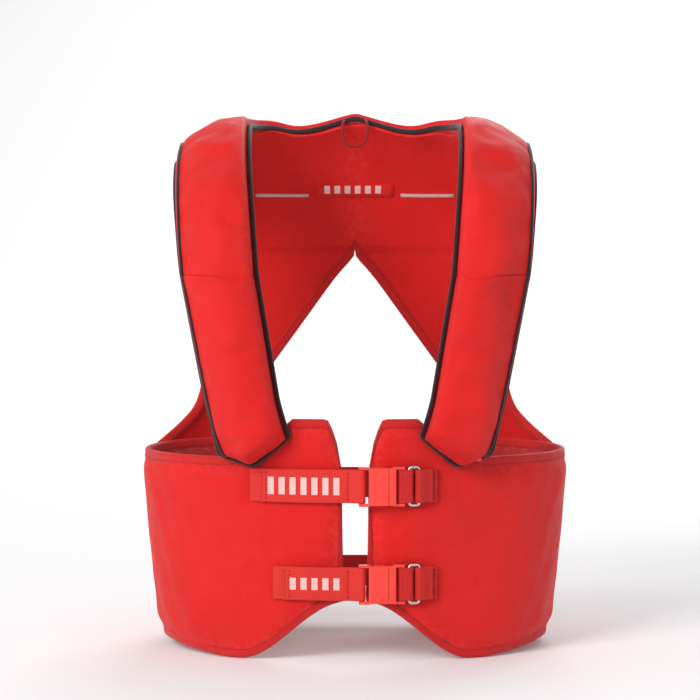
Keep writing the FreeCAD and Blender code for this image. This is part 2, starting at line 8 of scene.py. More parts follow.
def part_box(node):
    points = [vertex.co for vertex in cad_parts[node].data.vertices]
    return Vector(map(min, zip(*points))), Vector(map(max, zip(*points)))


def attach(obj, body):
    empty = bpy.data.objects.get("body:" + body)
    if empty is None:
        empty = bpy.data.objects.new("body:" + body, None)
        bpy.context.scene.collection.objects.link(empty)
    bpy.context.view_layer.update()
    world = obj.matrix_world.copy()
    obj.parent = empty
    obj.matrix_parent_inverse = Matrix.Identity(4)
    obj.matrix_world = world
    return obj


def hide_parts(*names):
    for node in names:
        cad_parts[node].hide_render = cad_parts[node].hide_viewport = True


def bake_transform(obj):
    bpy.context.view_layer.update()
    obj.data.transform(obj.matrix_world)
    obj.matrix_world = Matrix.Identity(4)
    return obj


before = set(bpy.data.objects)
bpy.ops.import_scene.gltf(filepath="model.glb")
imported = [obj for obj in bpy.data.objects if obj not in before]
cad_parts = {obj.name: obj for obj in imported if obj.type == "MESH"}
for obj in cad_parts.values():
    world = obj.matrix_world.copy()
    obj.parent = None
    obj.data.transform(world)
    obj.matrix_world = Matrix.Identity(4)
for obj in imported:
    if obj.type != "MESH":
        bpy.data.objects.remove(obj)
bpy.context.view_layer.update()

# ------------------------------------------------------------------- studio
# The jacket stands on its hem on a pale sweep that curves up behind it. A
# long lens looks at it from the height of the collar, and three large soft
# lamps light it, the strongest from the upper left.
collar_height = 0.377
camera_distance = 2.5
aim = Vector((-0.0039, 0.0, 0.2277))
jacket_middle = Vector((0.0, 0.0, 0.22))

camera_data = bpy.data.cameras.new("camera")
camera_data.sensor_width = 36.0
camera_data.lens = 164.8
camera = bpy.data.objects.new("camera", camera_data)
camera.location = (aim.x, -camera_distance, collar_height)
camera.rotation_euler = (aim - camera.location).to_track_quat("-Z", "Y").to_euler()
bpy.context.scene.collection.objects.link(camera)
bpy.context.scene.camera = camera
bpy.context.scene.view_settings.view_transform = "Standard"


def soft_lamp(name, place, size, power):
    """Square area lamp that points at the middle of the jacket."""
    lamp = bpy.data.lights.new(name, "AREA")
    lamp.size = size
    lamp.energy = power
    holder = bpy.data.objects.new(name, lamp)
    holder.location = place
    holder.rotation_euler = (jacket_middle - Vector(place)).to_track_quat("-Z", "Y").to_euler()
    bpy.context.scene.collection.objects.link(holder)


soft_lamp("key_lamp", (-1.5, -2.1, 1.4), 1.2, 58.0)
soft_lamp("fill_lamp", (1.8, -2.0, 0.7), 1.6, 6.0)
soft_lamp("back_lamp", (0.6, 2.2, 1.6), 1.6, 30.0)

world = bpy.data.worlds.new("studio")
world.use_nodes = True
world.node_tree.nodes["Background"].inputs["Color"].default_value = (1.0, 1.0, 1.0, 1.0)
world.node_tree.nodes["Background"].inputs["Strength"].default_value = 0.58
bpy.context.scene.world = world


def studio_floor():
    """Sweep: a flat floor that turns up into a backdrop on a large arc."""
    turn, rise, reach, half, steps = 1.2, 3.0, 1.6, 6.0, 12
    under_hem = 0.0006
    profile = [(-half, 0.0), (reach, 0.0)]
    for step in range(1, steps + 1):
        angle = math.pi / 2 * step / steps
        profile.append((reach + turn * math.sin(angle), turn * (1 - math.cos(angle))))
    profile.append((reach + turn, rise))
    points = [(x, y, z - under_hem) for y, z in profile for x in (-half, half)]
    faces = [(2 * i, 2 * i + 1, 2 * i + 3, 2 * i + 2) for i in range(len(profile) - 1)]
    mesh = bpy.data.meshes.new("studio_floor")
    mesh.from_pydata(points, [], faces)
    mesh.shade_smooth()
    floor = bpy.data.objects.new("studio_floor", mesh)
    bpy.context.scene.collection.objects.link(floor)
    paper = bpy.data.materials.new("backdrop_paper")
    paper.use_nodes = True
    shader = paper.node_tree.nodes["Principled BSDF"]
    shader.inputs["Base Color"].default_value = (0.86, 0.86, 0.87, 1.0)
    shader.inputs["Roughness"].default_value = 0.9
    mesh.materials.append(paper)


studio_floor()

# --------------------------------------------------------- waist band halves
# Each half is a padded panel: closed-cell foam between a woven polyester
# cover and a lining. The foam is pressed thin under the tape that is folded
# over its edge and sewn through, and the closures press into it.
front_radius = 0.222
centre_back_y = 0.108
widest_y = 0.002
rear_radius = 0.096
hem_half_angle = 22.7
rim_half_angle = 37.0
band_height = 0.181
band_thickness = 0.009
edge_thickness = 0.0034
lining_thickness = 0.0011
band_high = 40
band_wide = 104
front_gap = 0.0105
back_gap = 0.052
tab_run = 0.088
arch_end = 0.105
strap_levels = {"upper": 0.1325, "lower": 0.059}
thread_pitch = 0.00055
cover_red = (0.80, 0.009, 0.008, 1.0)
lining_red = (0.52, 0.014, 0.014, 1.0)


def add_node(tree, kind, inputs=None, **settings):
    """Add a node, set its properties, and link or set its inputs."""
    node = tree.nodes.new(kind)
    for name, value in settings.items():
        setattr(node, name, value)
    for socket, value in (inputs or {}).items():
        if isinstance(value, bpy.types.NodeSocket):
            tree.links.new(value, node.inputs[socket])
        else:
            node.inputs[socket].default_value = value
    return node


def math_node(tree, operation, *values):
    return add_node(tree, "ShaderNodeMath", dict(enumerate(values)), operation=operation).outputs[0]


def shader_group(name, inputs, outputs):
    """Empty shader group with named inputs and outputs."""
    group = bpy.data.node_groups.new(name, "ShaderNodeTree")
    for label, kind, value in inputs:
        socket = group.interface.new_socket(label, in_out="INPUT", socket_type="NodeSocket" + kind)
        if value is not None:
            socket.default_value = value
    for label in outputs:
        group.interface.new_socket(label, in_out="OUTPUT", socket_type="NodeSocketFloat")
    given = group.nodes.new("NodeGroupInput").outputs
    return group, given, group.nodes.new("NodeGroupOutput").inputs


def weave_group():
    """Plain weave: threads that pass over and under each other in turn."""
    group, given, result = shader_group(
        "weave", [("Vector", "Vector", None), ("Pitch", "Float", 0.0006)], ["Height", "Gap"])
    parts = add_node(group, "ShaderNodeSeparateXYZ", {0: given["Vector"]})
    across = math_node(group, "DIVIDE", parts.outputs[0], given["Pitch"])
    along = math_node(group, "DIVIDE", parts.outputs[1], given["Pitch"])
    threads = []
    for place in (across, along):
        wave = math_node(group, "SINE", math_node(group, "MULTIPLY", place, math.pi))
        threads.append(math_node(group, "ABSOLUTE", wave))
    column = math_node(group, "FLOOR", across)
    cell = math_node(group, "ADD", column, math_node(group, "FLOOR", along))
    turn = math_node(group, "FLOORED_MODULO", cell, 2.0)
    mix = add_node(group, "ShaderNodeMix", {0: turn, 2: threads[0], 3: threads[1]})
    lowest = math_node(group, "MINIMUM", threads[0], threads[1])
    group.links.new(mix.outputs[0], result["Height"])
    group.links.new(math_node(group, "SUBTRACT", 1.0, lowest), result["Gap"])
    return group


def wear_group():
    """Where a surface is rubbed: along its edges, broken up by fine noise."""
    group, given, result = shader_group(
        "rubbed_edge",
        [("Vector", "Vector", None), ("Grain", "Float", 300.0), ("Amount", "Float", 0.5)], ["Mask"])
    edge = add_node(group, "ShaderNodeAttribute", attribute_name="wear")
    grain = add_node(group, "ShaderNodeTexNoise",
                     {"Vector": given["Vector"], "Scale": given["Grain"], "Detail": 4.0})
    patch = add_node(group, "ShaderNodeMapRange",
                     {0: grain.outputs[0], 1: 0.42, 2: 0.62, 3: 0.0, 4: 1.0})
    rubbed = math_node(group, "MULTIPLY", edge.outputs["Fac"], patch.outputs[0])
    group.links.new(math_node(group, "MULTIPLY", rubbed, given["Amount"]), result["Mask"])
    return group


def mottle_group():
    """Slow change of shade and fine creases, from dyeing and handling."""
    group, given, result = shader_group(
        "mottle", [("Vector", "Vector", None), ("Strength", "Float", 0.1)], ["Shade", "Crease"])
    slow = add_node(group, "ShaderNodeTexNoise",
                    {"Vector": given["Vector"], "Scale": 14.0, "Detail": 5.0})
    fine = add_node(group, "ShaderNodeTexNoise",
                    {"Vector": given["Vector"], "Scale": 70.0, "Detail": 6.0, "Distortion": 0.6})
    swing = math_node(group, "MULTIPLY_ADD", slow.outputs[0], 2.0, -1.0)
    shade = math_node(group, "MULTIPLY_ADD", swing, given["Strength"], 1.0)
    group.links.new(shade, result["Shade"])
    group.links.new(fine.outputs[0], result["Crease"])
    return group


weave, rubbed_edge, mottle = weave_group(), wear_group(), mottle_group()


def new_material(name):
    """Empty material: itself, its tree, its shader and the place on the piece."""
    material = bpy.data.materials.new(name)
    material.use_nodes = True
    tree = material.node_tree
    place = add_node(tree, "ShaderNodeTexCoord").outputs["Object"]
    return material, tree, tree.nodes["Principled BSDF"], place


def mottled(tree, place, colour, strength):
    """Colour with its slow change of shade, and the crease pattern with it."""
    tone = add_node(tree, "ShaderNodeGroup", {"Vector": place, "Strength": strength}, node_tree=mottle)
    shaded = add_node(tree, "ShaderNodeHueSaturation", {"Value": tone.outputs["Shade"], "Color": colour})
    return shaded.outputs[0], tone.outputs["Crease"]


def worn(tree, place, colour, worn_colour, grain, amount):
    """Colour that turns to another where the surface is rubbed."""
    edge = add_node(tree, "ShaderNodeGroup", {"Vector": place, "Grain": grain, "Amount": amount},
                    node_tree=rubbed_edge)
    mixed = add_node(tree, "ShaderNodeMix", {0: edge.outputs["Mask"], 6: colour, 7: worn_colour},
                     data_type="RGBA")
    return mixed.outputs[2]


def uneven(tree, pattern, low, high):
    """Roughness that follows a noise pattern between two values."""
    return add_node(tree, "ShaderNodeMapRange", {0: pattern, 1: 0.3, 2: 0.7, 3: low, 4: high}).outputs[0]


def woven_cloth(name, colour, pitch, roughness, sheen, faded, crease=0.0006):
    """Woven cloth in one colour, with its threads, painted shade in the gaps between them, creases and
    rubbed edges.
    """
    material, tree, shader, place = new_material(name)
    flat = add_node(tree, "ShaderNodeUVMap", uv_map="cloth").outputs[0]
    threads = add_node(tree, "ShaderNodeGroup", {"Vector": flat, "Pitch": pitch}, node_tree=weave)
    # Painted shade: the colour is darkened in the gaps between the threads.
    deep = tuple(channel * 0.62 for channel in colour[:3]) + (1.0,)
    gap_shade = math_node(tree, "MULTIPLY", threads.outputs["Gap"], 0.4)
    body = add_node(tree, "ShaderNodeMix", {0: gap_shade, 6: colour, 7: deep}, data_type="RGBA")
    shaded, handled = mottled(tree, place, body.outputs[2], 0.16)
    tree.links.new(worn(tree, place, shaded, faded, 240.0, 0.45), shader.inputs["Base Color"])
    tree.links.new(uneven(tree, handled, roughness - 0.08, roughness + 0.08), shader.inputs["Roughness"])
    shader.inputs["Sheen Weight"].default_value = sheen
    shader.inputs["Sheen Roughness"].default_value = 0.4
    shader.inputs["Specular IOR Level"].default_value = 0.3
    creases = add_node(tree, "ShaderNodeBump", {"Height": handled, "Distance": crease})
    relief = add_node(tree, "ShaderNodeBump", {"Height": threads.outputs["Height"],
                                               "Distance": pitch * 0.3, "Normal": creases.outputs[0]})
    tree.links.new(relief.outputs[0], shader.inputs["Normal"])
    return material


cover_cloth = woven_cloth("cover_cloth", cover_red, thread_pitch, 0.58, 0.03,
                          (0.86, 0.045, 0.038, 1.0), 0.0011)
lining_cloth = woven_cloth("lining_cloth", lining_red, 0.0009, 0.72, 0.2, (0.66, 0.08, 0.08, 1.0))
binding_red = woven_cloth("band_binding_tape", (0.69, 0.011, 0.010, 1.0), 0.0008, 0.6, 0.12,
                          (0.86, 0.07, 0.06, 1.0), 0.0003)
seam_thread = woven_cloth("seam_thread", (0.42, 0.008, 0.009, 1.0), 0.0004, 0.45, 0.1,
                          (0.6, 0.05, 0.05, 1.0), 0.0001)


def add_piece(name, mesh, material):
    """Put a finished mesh in the scene under a piece's name."""
    mesh.materials.clear()
    mesh.materials.append(material)
    piece = bpy.data.objects.new(name, mesh)
    bpy.context.scene.collection.objects.link(piece)
    return piece


def cloth_mesh(name, points, faces, uvs, solid, wear=()):
    """Smooth mesh with its cloth UV map, one pair for each face corner, and its wear."""
    mesh = bpy.data.meshes.new(name)
    mesh.from_pydata(points, [], faces)
    layer = mesh.uv_layers.new(name="cloth")
    for loop, uv in zip(mesh.loops, uvs):
        layer.data[loop.index].uv = uv
    rubbed = mesh.attributes.new("wear", "FLOAT", "POINT")
    for index, value in enumerate(wear):
        rubbed.data[index].value = value
    face_outwards(mesh, solid)
    mesh.shade_smooth()
    return mesh


def grid_border(high, wide):
    """Places (row, column) round the edge of a grid, in order."""
    loop = [(0, j) for j in range(wide)] + [(i, wide - 1) for i in range(1, high)]
    loop += [(high - 1, j) for j in range(wide - 2, -1, -1)]
    return loop + [(i, 0) for i in range(high - 2, 0, -1)]


def from_cells(name, rows, solid):
    """Cloth mesh from rows of cells: (outside, inside, u, v, wear).

    An open cloth uses the outside points only. A solid one closes the space
    between both, and its faces point outwards.
    """
    high, wide = len(rows), len(rows[0])
    cells = [cell for row in rows for cell in row]
    count = len(cells)
    points = [cell[0] for cell in cells]
    corners = [i * wide + j for i in range(high - 1) for j in range(wide - 1)]
    faces = [(a, a + 1, a + wide + 1, a + wide) for a in corners]
    if solid:
        points += [cell[1] for cell in cells]
        faces += [tuple(count + k for k in reversed(face)) for face in faces]
        rim = [i * wide + j for i, j in grid_border(high, wide)]
        faces += [(b, a, a + count, b + count) for a, b in zip(rim, rim[1:] + rim[:1])]
    uvs = [cells[k % count][2:4] for face in faces for k in face]
    wear = [cells[k % count][4] for k in range(len(points))]
    return cloth_mesh(name, points, faces, uvs, solid, wear)


def face_outwards(mesh, solid):
    """Turn the faces out of a solid, or an open cloth's away from the wearer."""
    shape = bmesh.new()
    shape.from_mesh(mesh)
    if solid:
        bmesh.ops.recalc_face_normals(shape, faces=shape.faces)
    else:
        wearer = Vector((0, 0, 0.2))
        turned = sum(face.normal.dot(face.calc_center_median() - wearer) for face in shape.faces)
        if turned < 0:
            bmesh.ops.reverse_faces(shape, faces=shape.faces)
    shape.to_mesh(mesh)
    shape.free()


def finished(name, mesh, *modifiers):
    """Mesh after the given modifiers: (kind, settings) pairs."""
    holder = bpy.data.objects.new(name + "_work", mesh)
    bpy.context.scene.collection.objects.link(holder)
    for kind, settings in modifiers:
        modifier = holder.modifiers.new(kind.lower(), kind)
        for label, value in settings.items():
            setattr(modifier, label, value)
    graph = bpy.context.evaluated_depsgraph_get()
    result = bpy.data.meshes.new_from_object(holder.evaluated_get(graph))
    result.name = name
    bpy.data.objects.remove(holder)
    return result


subdivided = ("SUBSURF", {"levels": 1, "render_levels": 1})


def ramp(value, start, end):
    """Smooth step from 0 at start to 1 at end."""
    share = min(max((value - start) / (end - start), 0.0), 1.0)
    return share * share * (3 - 2 * share)


def between(stops, place):
    """Value at a place on a line of (place, value) stops."""
    for (x0, y0), (x1, y1) in zip(stops, stops[1:]):
        if place <= x1:
            return y0 + (y1 - y0) * max((place - x0) / (x1 - x0), 0.0)
    return stops[-1][1]


def band_plan(z):
    """Radii, centres and arc lengths of the band's plan at a height."""
    turn = math.radians(hem_half_angle + (rim_half_angle - hem_half_angle) * z / band_height)
    side = front_radius - (centre_back_y - widest_y) / math.cos(turn)
    side_x = (front_radius - side) * math.sin(turn)
    rear_x = side_x + side - rear_radius
    front_run = front_radius * turn
    side_run = side * (math.pi / 2 - turn)
    rear_run = rear_radius * math.pi / 2
    return turn, side, side_x, rear_x, front_run, side_run, rear_run


def band_run(z):
    """Arc length of the band half from the centre front to the centre back."""
    plan = band_plan(z)
    return plan[4] + plan[5] + plan[6] + plan[3]


def band_point(s, z, n):
    """Point of the band at arc length s from the centre front, n off its face."""
    turn, side, side_x, rear_x, front_run, side_run, rear_run = band_plan(z)
    if s > tab_run:
        s += (band_run(z) - band_run(0)) * (s - tab_run) / (band_run(0) - tab_run)
    if s <= front_run:
        angle, radius, x, y = s / front_radius, front_radius, 0.0, centre_back_y
    elif s <= front_run + side_run:
        angle, radius, x, y = turn + (s - front_run) / side, side, side_x, widest_y
    elif s <= front_run + side_run + rear_run:
        angle = math.pi / 2 + (s - front_run - side_run) / rear_radius
        radius, x, y = rear_radius, rear_x, widest_y
    else:
        rest = s - front_run - side_run - rear_run
        return Vector((rear_x - rest, widest_y + rear_radius + n, z))
    return Vector((x + (radius + n) * math.sin(angle), y - (radius + n) * math.cos(angle), z))


def hem_arch(x):
    """Height of the front hem, which sweeps up to the centre closure."""
    rise = 0.5 + 0.5 * math.cos(math.pi * min(max((x - 0.006) / 0.086, 0.0), 1.0))
    return 0.002 + 0.045 * rise


band_end = band_run(0) - back_gap
rim_line = [(front_gap, 0.144), (0.0132, 0.160), (0.0195, 0.1785), (0.023, 0.180), (0.049, 0.180),
            (0.0607, 0.168), (0.0755, 0.1545), (0.1037, 0.150), (band_end - 0.014, 0.150),
            (band_end - 0.004, 0.1425), (band_end, 0.132)]
hem_end = [(arch_end, 0.002), (0.150, 0.006), (0.172, 0.008), (band_end - 0.016, 0.010),
           (band_end - 0.004, 0.018), (band_end, 0.028)]


def hem_height(s):
    return hem_arch(s) if s < arch_end else between(hem_end, s)


def band_relief(s, z, edge):
    """How far the cover stands off its nominal face."""
    pressed = 0.0
    for level in strap_levels.values():
        height = 1 - ramp(abs(z - level), 0.011, 0.024)
        reach = 1 - ramp(s, 0.080, 0.098)
        pressed = max(pressed, height * reach)
    under_lobe = ramp(z, 0.132, 0.150) * (1 - ramp(s, 0.125, 0.150))
    free = (1 - pressed) * (1 - 0.8 * under_lobe)
    spot = Vector((s, z, 0.0))
    folds = noise.noise(spot * 17.0) * 0.0022 + noise.noise(spot * 48.0 + Vector((3, 1, 7))) * 0.0010
    dragged = noise.noise(Vector((s * 13 + z * 8, z * 90, 4.0))) * 0.0013 * (1 - ramp(s, 0.06, 0.13))
    buckled = noise.noise(Vector((s * 62 - z * 20, z * 10, 8.0))) * 0.0017 * ramp(s, 0.08, 0.16)
    pucker = noise.noise(Vector((s * 150, z * 150, 2.0))) * 0.0006 * (1 - ramp(edge, 0.006, 0.022))
    swell = 0.0012 * ramp(edge, 0.0, 0.035)
    cushioned = folds + dragged + buckled + swell
    return free * ramp(edge, 0.003, 0.014) * cushioned + pucker * (1 - pressed) - 0.0009 * pressed


def band_cells(side, part):
    """Rows of cells for the cover with its foam, or for the lining."""
    rows = []
    for i in range(band_high + 1):
        row = []
        for j in range(band_wide + 1):
            s = front_gap + (band_end - front_gap) * j / band_wide
            low, high = hem_height(s), between(rim_line, s)
            z = low + (high - low) * i / band_high
            edge = min(z - low, high - z, s - front_gap, band_end - s)
            pinch = (band_thickness - edge_thickness) / 2 * (1 - ramp(edge, 0.002, 0.013))
            outer = -pinch + band_relief(s, z, edge)
            inner = -band_thickness + pinch + noise.noise(Vector((s * 40, z * 40, 5))) * 0.0004
            seam = inner + lining_thickness
            n0, n1 = (outer, seam) if part == "cover" else (seam - 0.0002, inner)
            near, far = band_point(s, z, n0), band_point(s, z, n1)
            near.x *= side
            far.x *= side
            row.append((near, far, s, z, 1 - ramp(edge, 0.004, 0.016)))
        rows.append(row)
    return rows


def band_border(cells):
    """Edge of the band half as frames: place, inward, outward and half thickness."""
    high, wide = len(cells), len(cells[0])
    frames = []
    for i, j in grid_border(high, wide):
        inside_i = min(max(i, 1), high - 2)
        inside_j = min(max(j, 1), wide - 2)
        outside, inside = cells[i][j][0], cells[i][j][1]
        thick = (outside - inside).normalized()
        place = outside - thick * edge_thickness / 2
        inward = cells[inside_i][inside_j][0] - outside
        inward = (inward - thick * inward.dot(thick)).normalized()
        frames.append((place, inward, thick))
    return frames


def sweep(name, frames, section, closed):
    """Solid of one section along a path. A frame is (place, across, up), and
    the section is a closed line of (across, up) points."""
    count = len(section)
    points = []
    for place, across, up in frames:
        points += [place + across * a + up * b for a, b in section]
    runs = [0.0]
    for before, after in zip(frames, frames[1:] + frames[:1]):
        runs.append(runs[-1] + (after[0] - before[0]).length)
    girth = [0.0]
    for before, after in zip(section, section[1:] + section[:1]):
        girth.append(girth[-1] + math.dist(before, after))
    faces, uvs = [], []
    spans = len(frames) if closed else len(frames) - 1
    for i in range(spans):
        k = (i + 1) % len(frames)
        for j in range(count):
            m = (j + 1) % count
            faces.append((i * count + j, i * count + m, k * count + m, k * count + j))
            uvs += [(girth[j], runs[i]), (girth[j + 1], runs[i]),
                    (girth[j + 1], runs[i + 1]), (girth[j], runs[i + 1])]
    if not closed:
        for start in (0, (len(frames) - 1) * count):
            faces.append(tuple(range(start, start + count)))
            uvs += section
    return cloth_mesh(name, points, faces, uvs, True)


def folded_tape(leg, half_gap, thickness):
    """Section of a tape folded over an edge: legs inwards, fold outwards."""
    out = half_gap + thickness
    outside = [(leg, out), (leg / 2, out), (0.0, out), (-0.7 * out, 0.7 * out), (-out, 0.0)]
    inside = [(leg, half_gap), (leg / 2, half_gap), (0.0, half_gap),
              (-0.7 * half_gap, 0.7 * half_gap), (-half_gap, 0.0)]
    outside += [(a, -b) for a, b in reversed(outside[:-1])]
    inside += [(a, -b) for a, b in reversed(inside[:-1])]
    return outside + inside[::-1]


def stitch_tree():
    """Geometry nodes that sew a line: one short rounded stitch at each step."""
    tree = bpy.data.node_groups.new("stitched_seam", "GeometryNodeTree")
    tree.interface.new_socket("Line", in_out="INPUT", socket_type="NodeSocketGeometry")
    for label in ("Pitch", "Length", "Thickness"):
        tree.interface.new_socket(label, in_out="INPUT", socket_type="NodeSocketFloat")
    tree.interface.new_socket("Thread", in_out="INPUT", socket_type="NodeSocketMaterial")
    tree.interface.new_socket("Seam", in_out="OUTPUT", socket_type="NodeSocketGeometry")
    given = tree.nodes.new("NodeGroupInput").outputs
    curve = add_node(tree, "GeometryNodeMeshToCurve", {"Mesh": given["Line"]})
    steps = add_node(tree, "GeometryNodeCurveToPoints",
                     {"Curve": curve.outputs[0], "Length": given["Pitch"]}, mode="LENGTH")
    turn = add_node(tree, "FunctionNodeAlignRotationToVector",
                    {"Vector": steps.outputs["Tangent"]}, axis="X")
    bead = add_node(tree, "GeometryNodeMeshUVSphere", {"Segments": 6, "Rings": 4, "Radius": 0.5})
    size = add_node(tree, "ShaderNodeCombineXYZ",
                    {0: given["Length"], 1: given["Thickness"], 2: given["Thickness"]})
    sewn = add_node(tree, "GeometryNodeInstanceOnPoints",
                    {"Points": steps.outputs["Points"], "Instance": bead.outputs["Mesh"],
                     "Rotation": turn.outputs[0], "Scale": size.outputs[0]})
    smooth = add_node(tree, "GeometryNodeSetShadeSmooth", {"Geometry": sewn.outputs[0]})
    real = add_node(tree, "GeometryNodeRealizeInstances", {"Geometry": smooth.outputs[0]})
    dressed = add_node(tree, "GeometryNodeSetMaterial",
                       {"Geometry": real.outputs[0], "Material": given["Thread"]})
    tree.links.new(dressed.outputs[0], tree.nodes.new("NodeGroupOutput").inputs[0])
    return tree


stitched_seam = stitch_tree()


def sew(name, lines, thread, pitch=0.0034, length=0.0026, thickness=0.0007):
    """Sew the lines, each a list of points, and return the stitches as one piece."""
    points = [place for line in lines for place in line]
    edges, start = [], 0
    for line in lines:
        edges += [(start + k, start + k + 1) for k in range(len(line) - 1)]
        start += len(line)
    mesh = bpy.data.meshes.new(name + "_line")
    mesh.from_pydata(points, edges, [])
    holder = bpy.data.objects.new(name + "_line", mesh)
    bpy.context.scene.collection.objects.link(holder)
    modifier = holder.modifiers.new("seam", "NODES")
    modifier.node_group = stitched_seam
    values = {"Pitch": pitch, "Length": length, "Thickness": thickness, "Thread": thread}
    for item in stitched_seam.interface.items_tree:
        if item.in_out == "INPUT" and item.name in values:
            modifier[item.identifier] = values[item.name]
    graph = bpy.context.evaluated_depsgraph_get()
    sewn = bpy.data.meshes.new_from_object(holder.evaluated_get(graph))
    sewn.name = name
    bpy.data.objects.remove(holder)
    return add_piece(name, sewn, thread)


def waist_band_half(side, label, body):
    """One half of the band: cover over foam, lining, edge tape and seams."""
    cover_cells = band_cells(side, "cover")
    cover = finished(label + "_cover_panel", from_cells("cover", cover_cells, True), subdivided)
    cover = add_piece(label + "_cover_panel", cover, cover_cloth)
    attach(cover, body)
    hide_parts(label + "_band_cover", label + "_band_foam")

    lining = add_piece(label + "_lining_panel",
                       from_cells("lining", band_cells(side, "lining"), True), lining_cloth)
    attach(lining, body)
    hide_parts(label + "_band_lining")

    border = band_border(cover_cells)
    half = edge_thickness / 2
    tape = sweep("tape", border, folded_tape(0.0058, half, 0.0006), True)
    tape = add_piece(label + "_edge_tape", tape, binding_red)
    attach(tape, body)
    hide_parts(label + "_band_binding")

    lines = []
    for face in (1, -1):
        line = [place + inward * 0.0042 + thick * face * (half + 0.0008)
                for place, inward, thick in border]
        lines.append(line + line[:1])
    seam = sew(label + "_edge_seam", lines, seam_thread)
    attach(seam, body)


waist_band_half(1, "left", "left_half")
waist_band_half(-1, "right", "root")

# ------------------------------------------------- back belts and adjusters
# Two webbing belts join the halves across the open back. Each is sewn flat
# on both band ends and runs through a moulded slider that takes up its slack.
webbing_width = 0.025
webbing_thickness = 0.0016
belt_levels = {"upper": 0.114, "lower": 0.042}
belt_y = 0.0991
belt_half = 0.070
belt_steps = 48
box_start, box_end, box_half = 0.0545, 0.0675, 0.009


def webbing(name, colour, faded):
    """Ribbed webbing: thick cords of weft under a tight warp."""
    return woven_cloth(name, colour, 0.0011, 0.55, 0.1, faded, 0.0002)


def webbing_section(width, thickness):
    """Section of webbing: flat, with round selvedges."""
    half, deep = width / 2, thickness / 2
    top = [(-half, 0.0), (-half + 0.0003, deep * 0.8), (-half + 0.0011, deep)]
    top += [(-half / 2, deep), (0.0, deep), (half / 2, deep)]
    top += [(half - 0.0011, deep), (half - 0.0003, deep * 0.8), (half, 0.0)]
    return top + [(a, -b) for a, b in reversed(top[1:-1])]


def box_stitch(corners):
    """Four sides and both diagonals of a sewn box."""
    a, b, c, d = corners
    return [[a, b], [b, c], [c, d], [d, a], [a, c], [b, d]]


back_web = webbing("back_webbing_red", (0.56, 0.012, 0.012, 1.0), (0.80, 0.08, 0.07, 1.0))
for label, level in belt_levels.items():
    path = [(Vector((belt_half * (2 * k / belt_steps - 1), belt_y, level)), Vector((0, 0, 1)),
             Vector((0, 1, 0))) for k in range(belt_steps + 1)]
    belt = sweep("belt", path, webbing_section(webbing_width, webbing_thickness), False)
    belt = add_piece(label + "_back_belt", belt, back_web)
    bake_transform(belt)
    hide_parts(label + "_back_belt_left", label + "_back_belt_right")
    for side, body in ((1, "left_half"), (-1, "root")):
        outer = belt_y + webbing_thickness / 2 + 0.0001
        corners = [Vector((side * x, outer, level + z))
                   for x, z in ((box_start, -box_half), (box_end, -box_half),
                                (box_end, box_half), (box_start, box_half))]
        seam = sew("{}_belt_seam_{}".format(label, body), box_stitch(corners), seam_thread,
                   0.0026, 0.0021, 0.0006)
        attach(seam, body)


def moulded_plastic(name, colour, worn_colour, roughness, grain=0.00004):
    """Moulded plastic: satin, with fine grain and paler rubbed edges."""
    material, tree, shader, place = new_material(name)
    shaded, handled = mottled(tree, place, colour, 0.10)
    tree.links.new(worn(tree, place, shaded, worn_colour, 500.0, 0.5), shader.inputs["Base Color"])
    tree.links.new(uneven(tree, handled, roughness - 0.06, roughness + 0.08), shader.inputs["Roughness"])
    pits = add_node(tree, "ShaderNodeTexNoise", {"Vector": place, "Scale": 2200.0, "Detail": 2.0})
    relief = add_node(tree, "ShaderNodeBump", {"Height": pits.outputs[0], "Distance": grain})
    tree.links.new(relief.outputs[0], shader.inputs["Normal"])
    return material


def softened(node, body, material, radius):
    """Moulded or turned piece with its edges rounded over, on its body."""
    shape = bmesh.new()
    shape.from_mesh(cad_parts[node].data)
    wear = shape.faces.layers.float.new("wear")
    bmesh.ops.remove_doubles(shape, verts=shape.verts, dist=0.00001)
    bmesh.ops.dissolve_limit(shape, angle_limit=math.radians(1.0), verts=shape.verts,
                             edges=shape.edges)
    sharp = [edge for edge in shape.edges
             if edge.is_manifold and edge.calc_face_angle() > math.radians(30)]
    rounded = bmesh.ops.bevel(shape, geom=sharp, offset=radius, segments=2, profile=0.6,
                              affect="EDGES", clamp_overlap=True)
    for face in rounded["faces"]:
        face[wear] = 1.0
    mesh = bpy.data.meshes.new(node + "_moulded")
    shape.to_mesh(mesh)
    shape.free()
    mesh.shade_smooth()
    mesh.set_sharp_from_angle(angle=math.radians(50))
    piece = add_piece(node + "_moulded", mesh, material)
    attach(piece, body)
    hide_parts(node)
    return piece


black_plastic = moulded_plastic("slider_plastic", (0.018, 0.018, 0.020, 1.0),
                                (0.10, 0.10, 0.11, 1.0), 0.42)
for label in belt_levels:
    softened(label + "_back_adjuster", label + "_adjuster", black_plastic, 0.0007)

# --------------------------------------------------------------------- yoke
# One sheet of doubled cover cloth across the shoulder blades. Its two legs
# run down to the band and leave the back open in a V, and a tape binds the
# armholes and the V. A short loop at the collar hangs the jacket up.
shoulder_slope = 0.405
shoulder_top = 0.426
front_depth, back_depth = 0.114, 0.098
front_spring, back_spring = 0.290, 0.300
yoke_thickness = 0.0025
yoke_middle = -0.0012
yoke_steps = 14
yoke_stations = [
    (82, 0.081, 0.136), (100, 0.0795, 0.137), (110, 0.074, 0.136), (117, 0.056, 0.134),
    (121, 0.030, 0.133), (123.5, 0.0, 0.132), (140, 0.0, 0.129), (160, 0.0, 0.126),
    (177, 0.0, 0.124),
    (200, 0.0185, 0.122), (240, 0.0475, 0.1195), (275, 0.073, 0.121), (300, 0.091, 0.127),
    (315, 0.102, 0.139), (329.6, 0.112, 0.157),
]


def shoulder_drop(x):
    """Fall of the shoulder line below its height at the centre."""
    return shoulder_slope * x - 0.009 * math.exp(-((x - 0.068) / 0.018) ** 2)


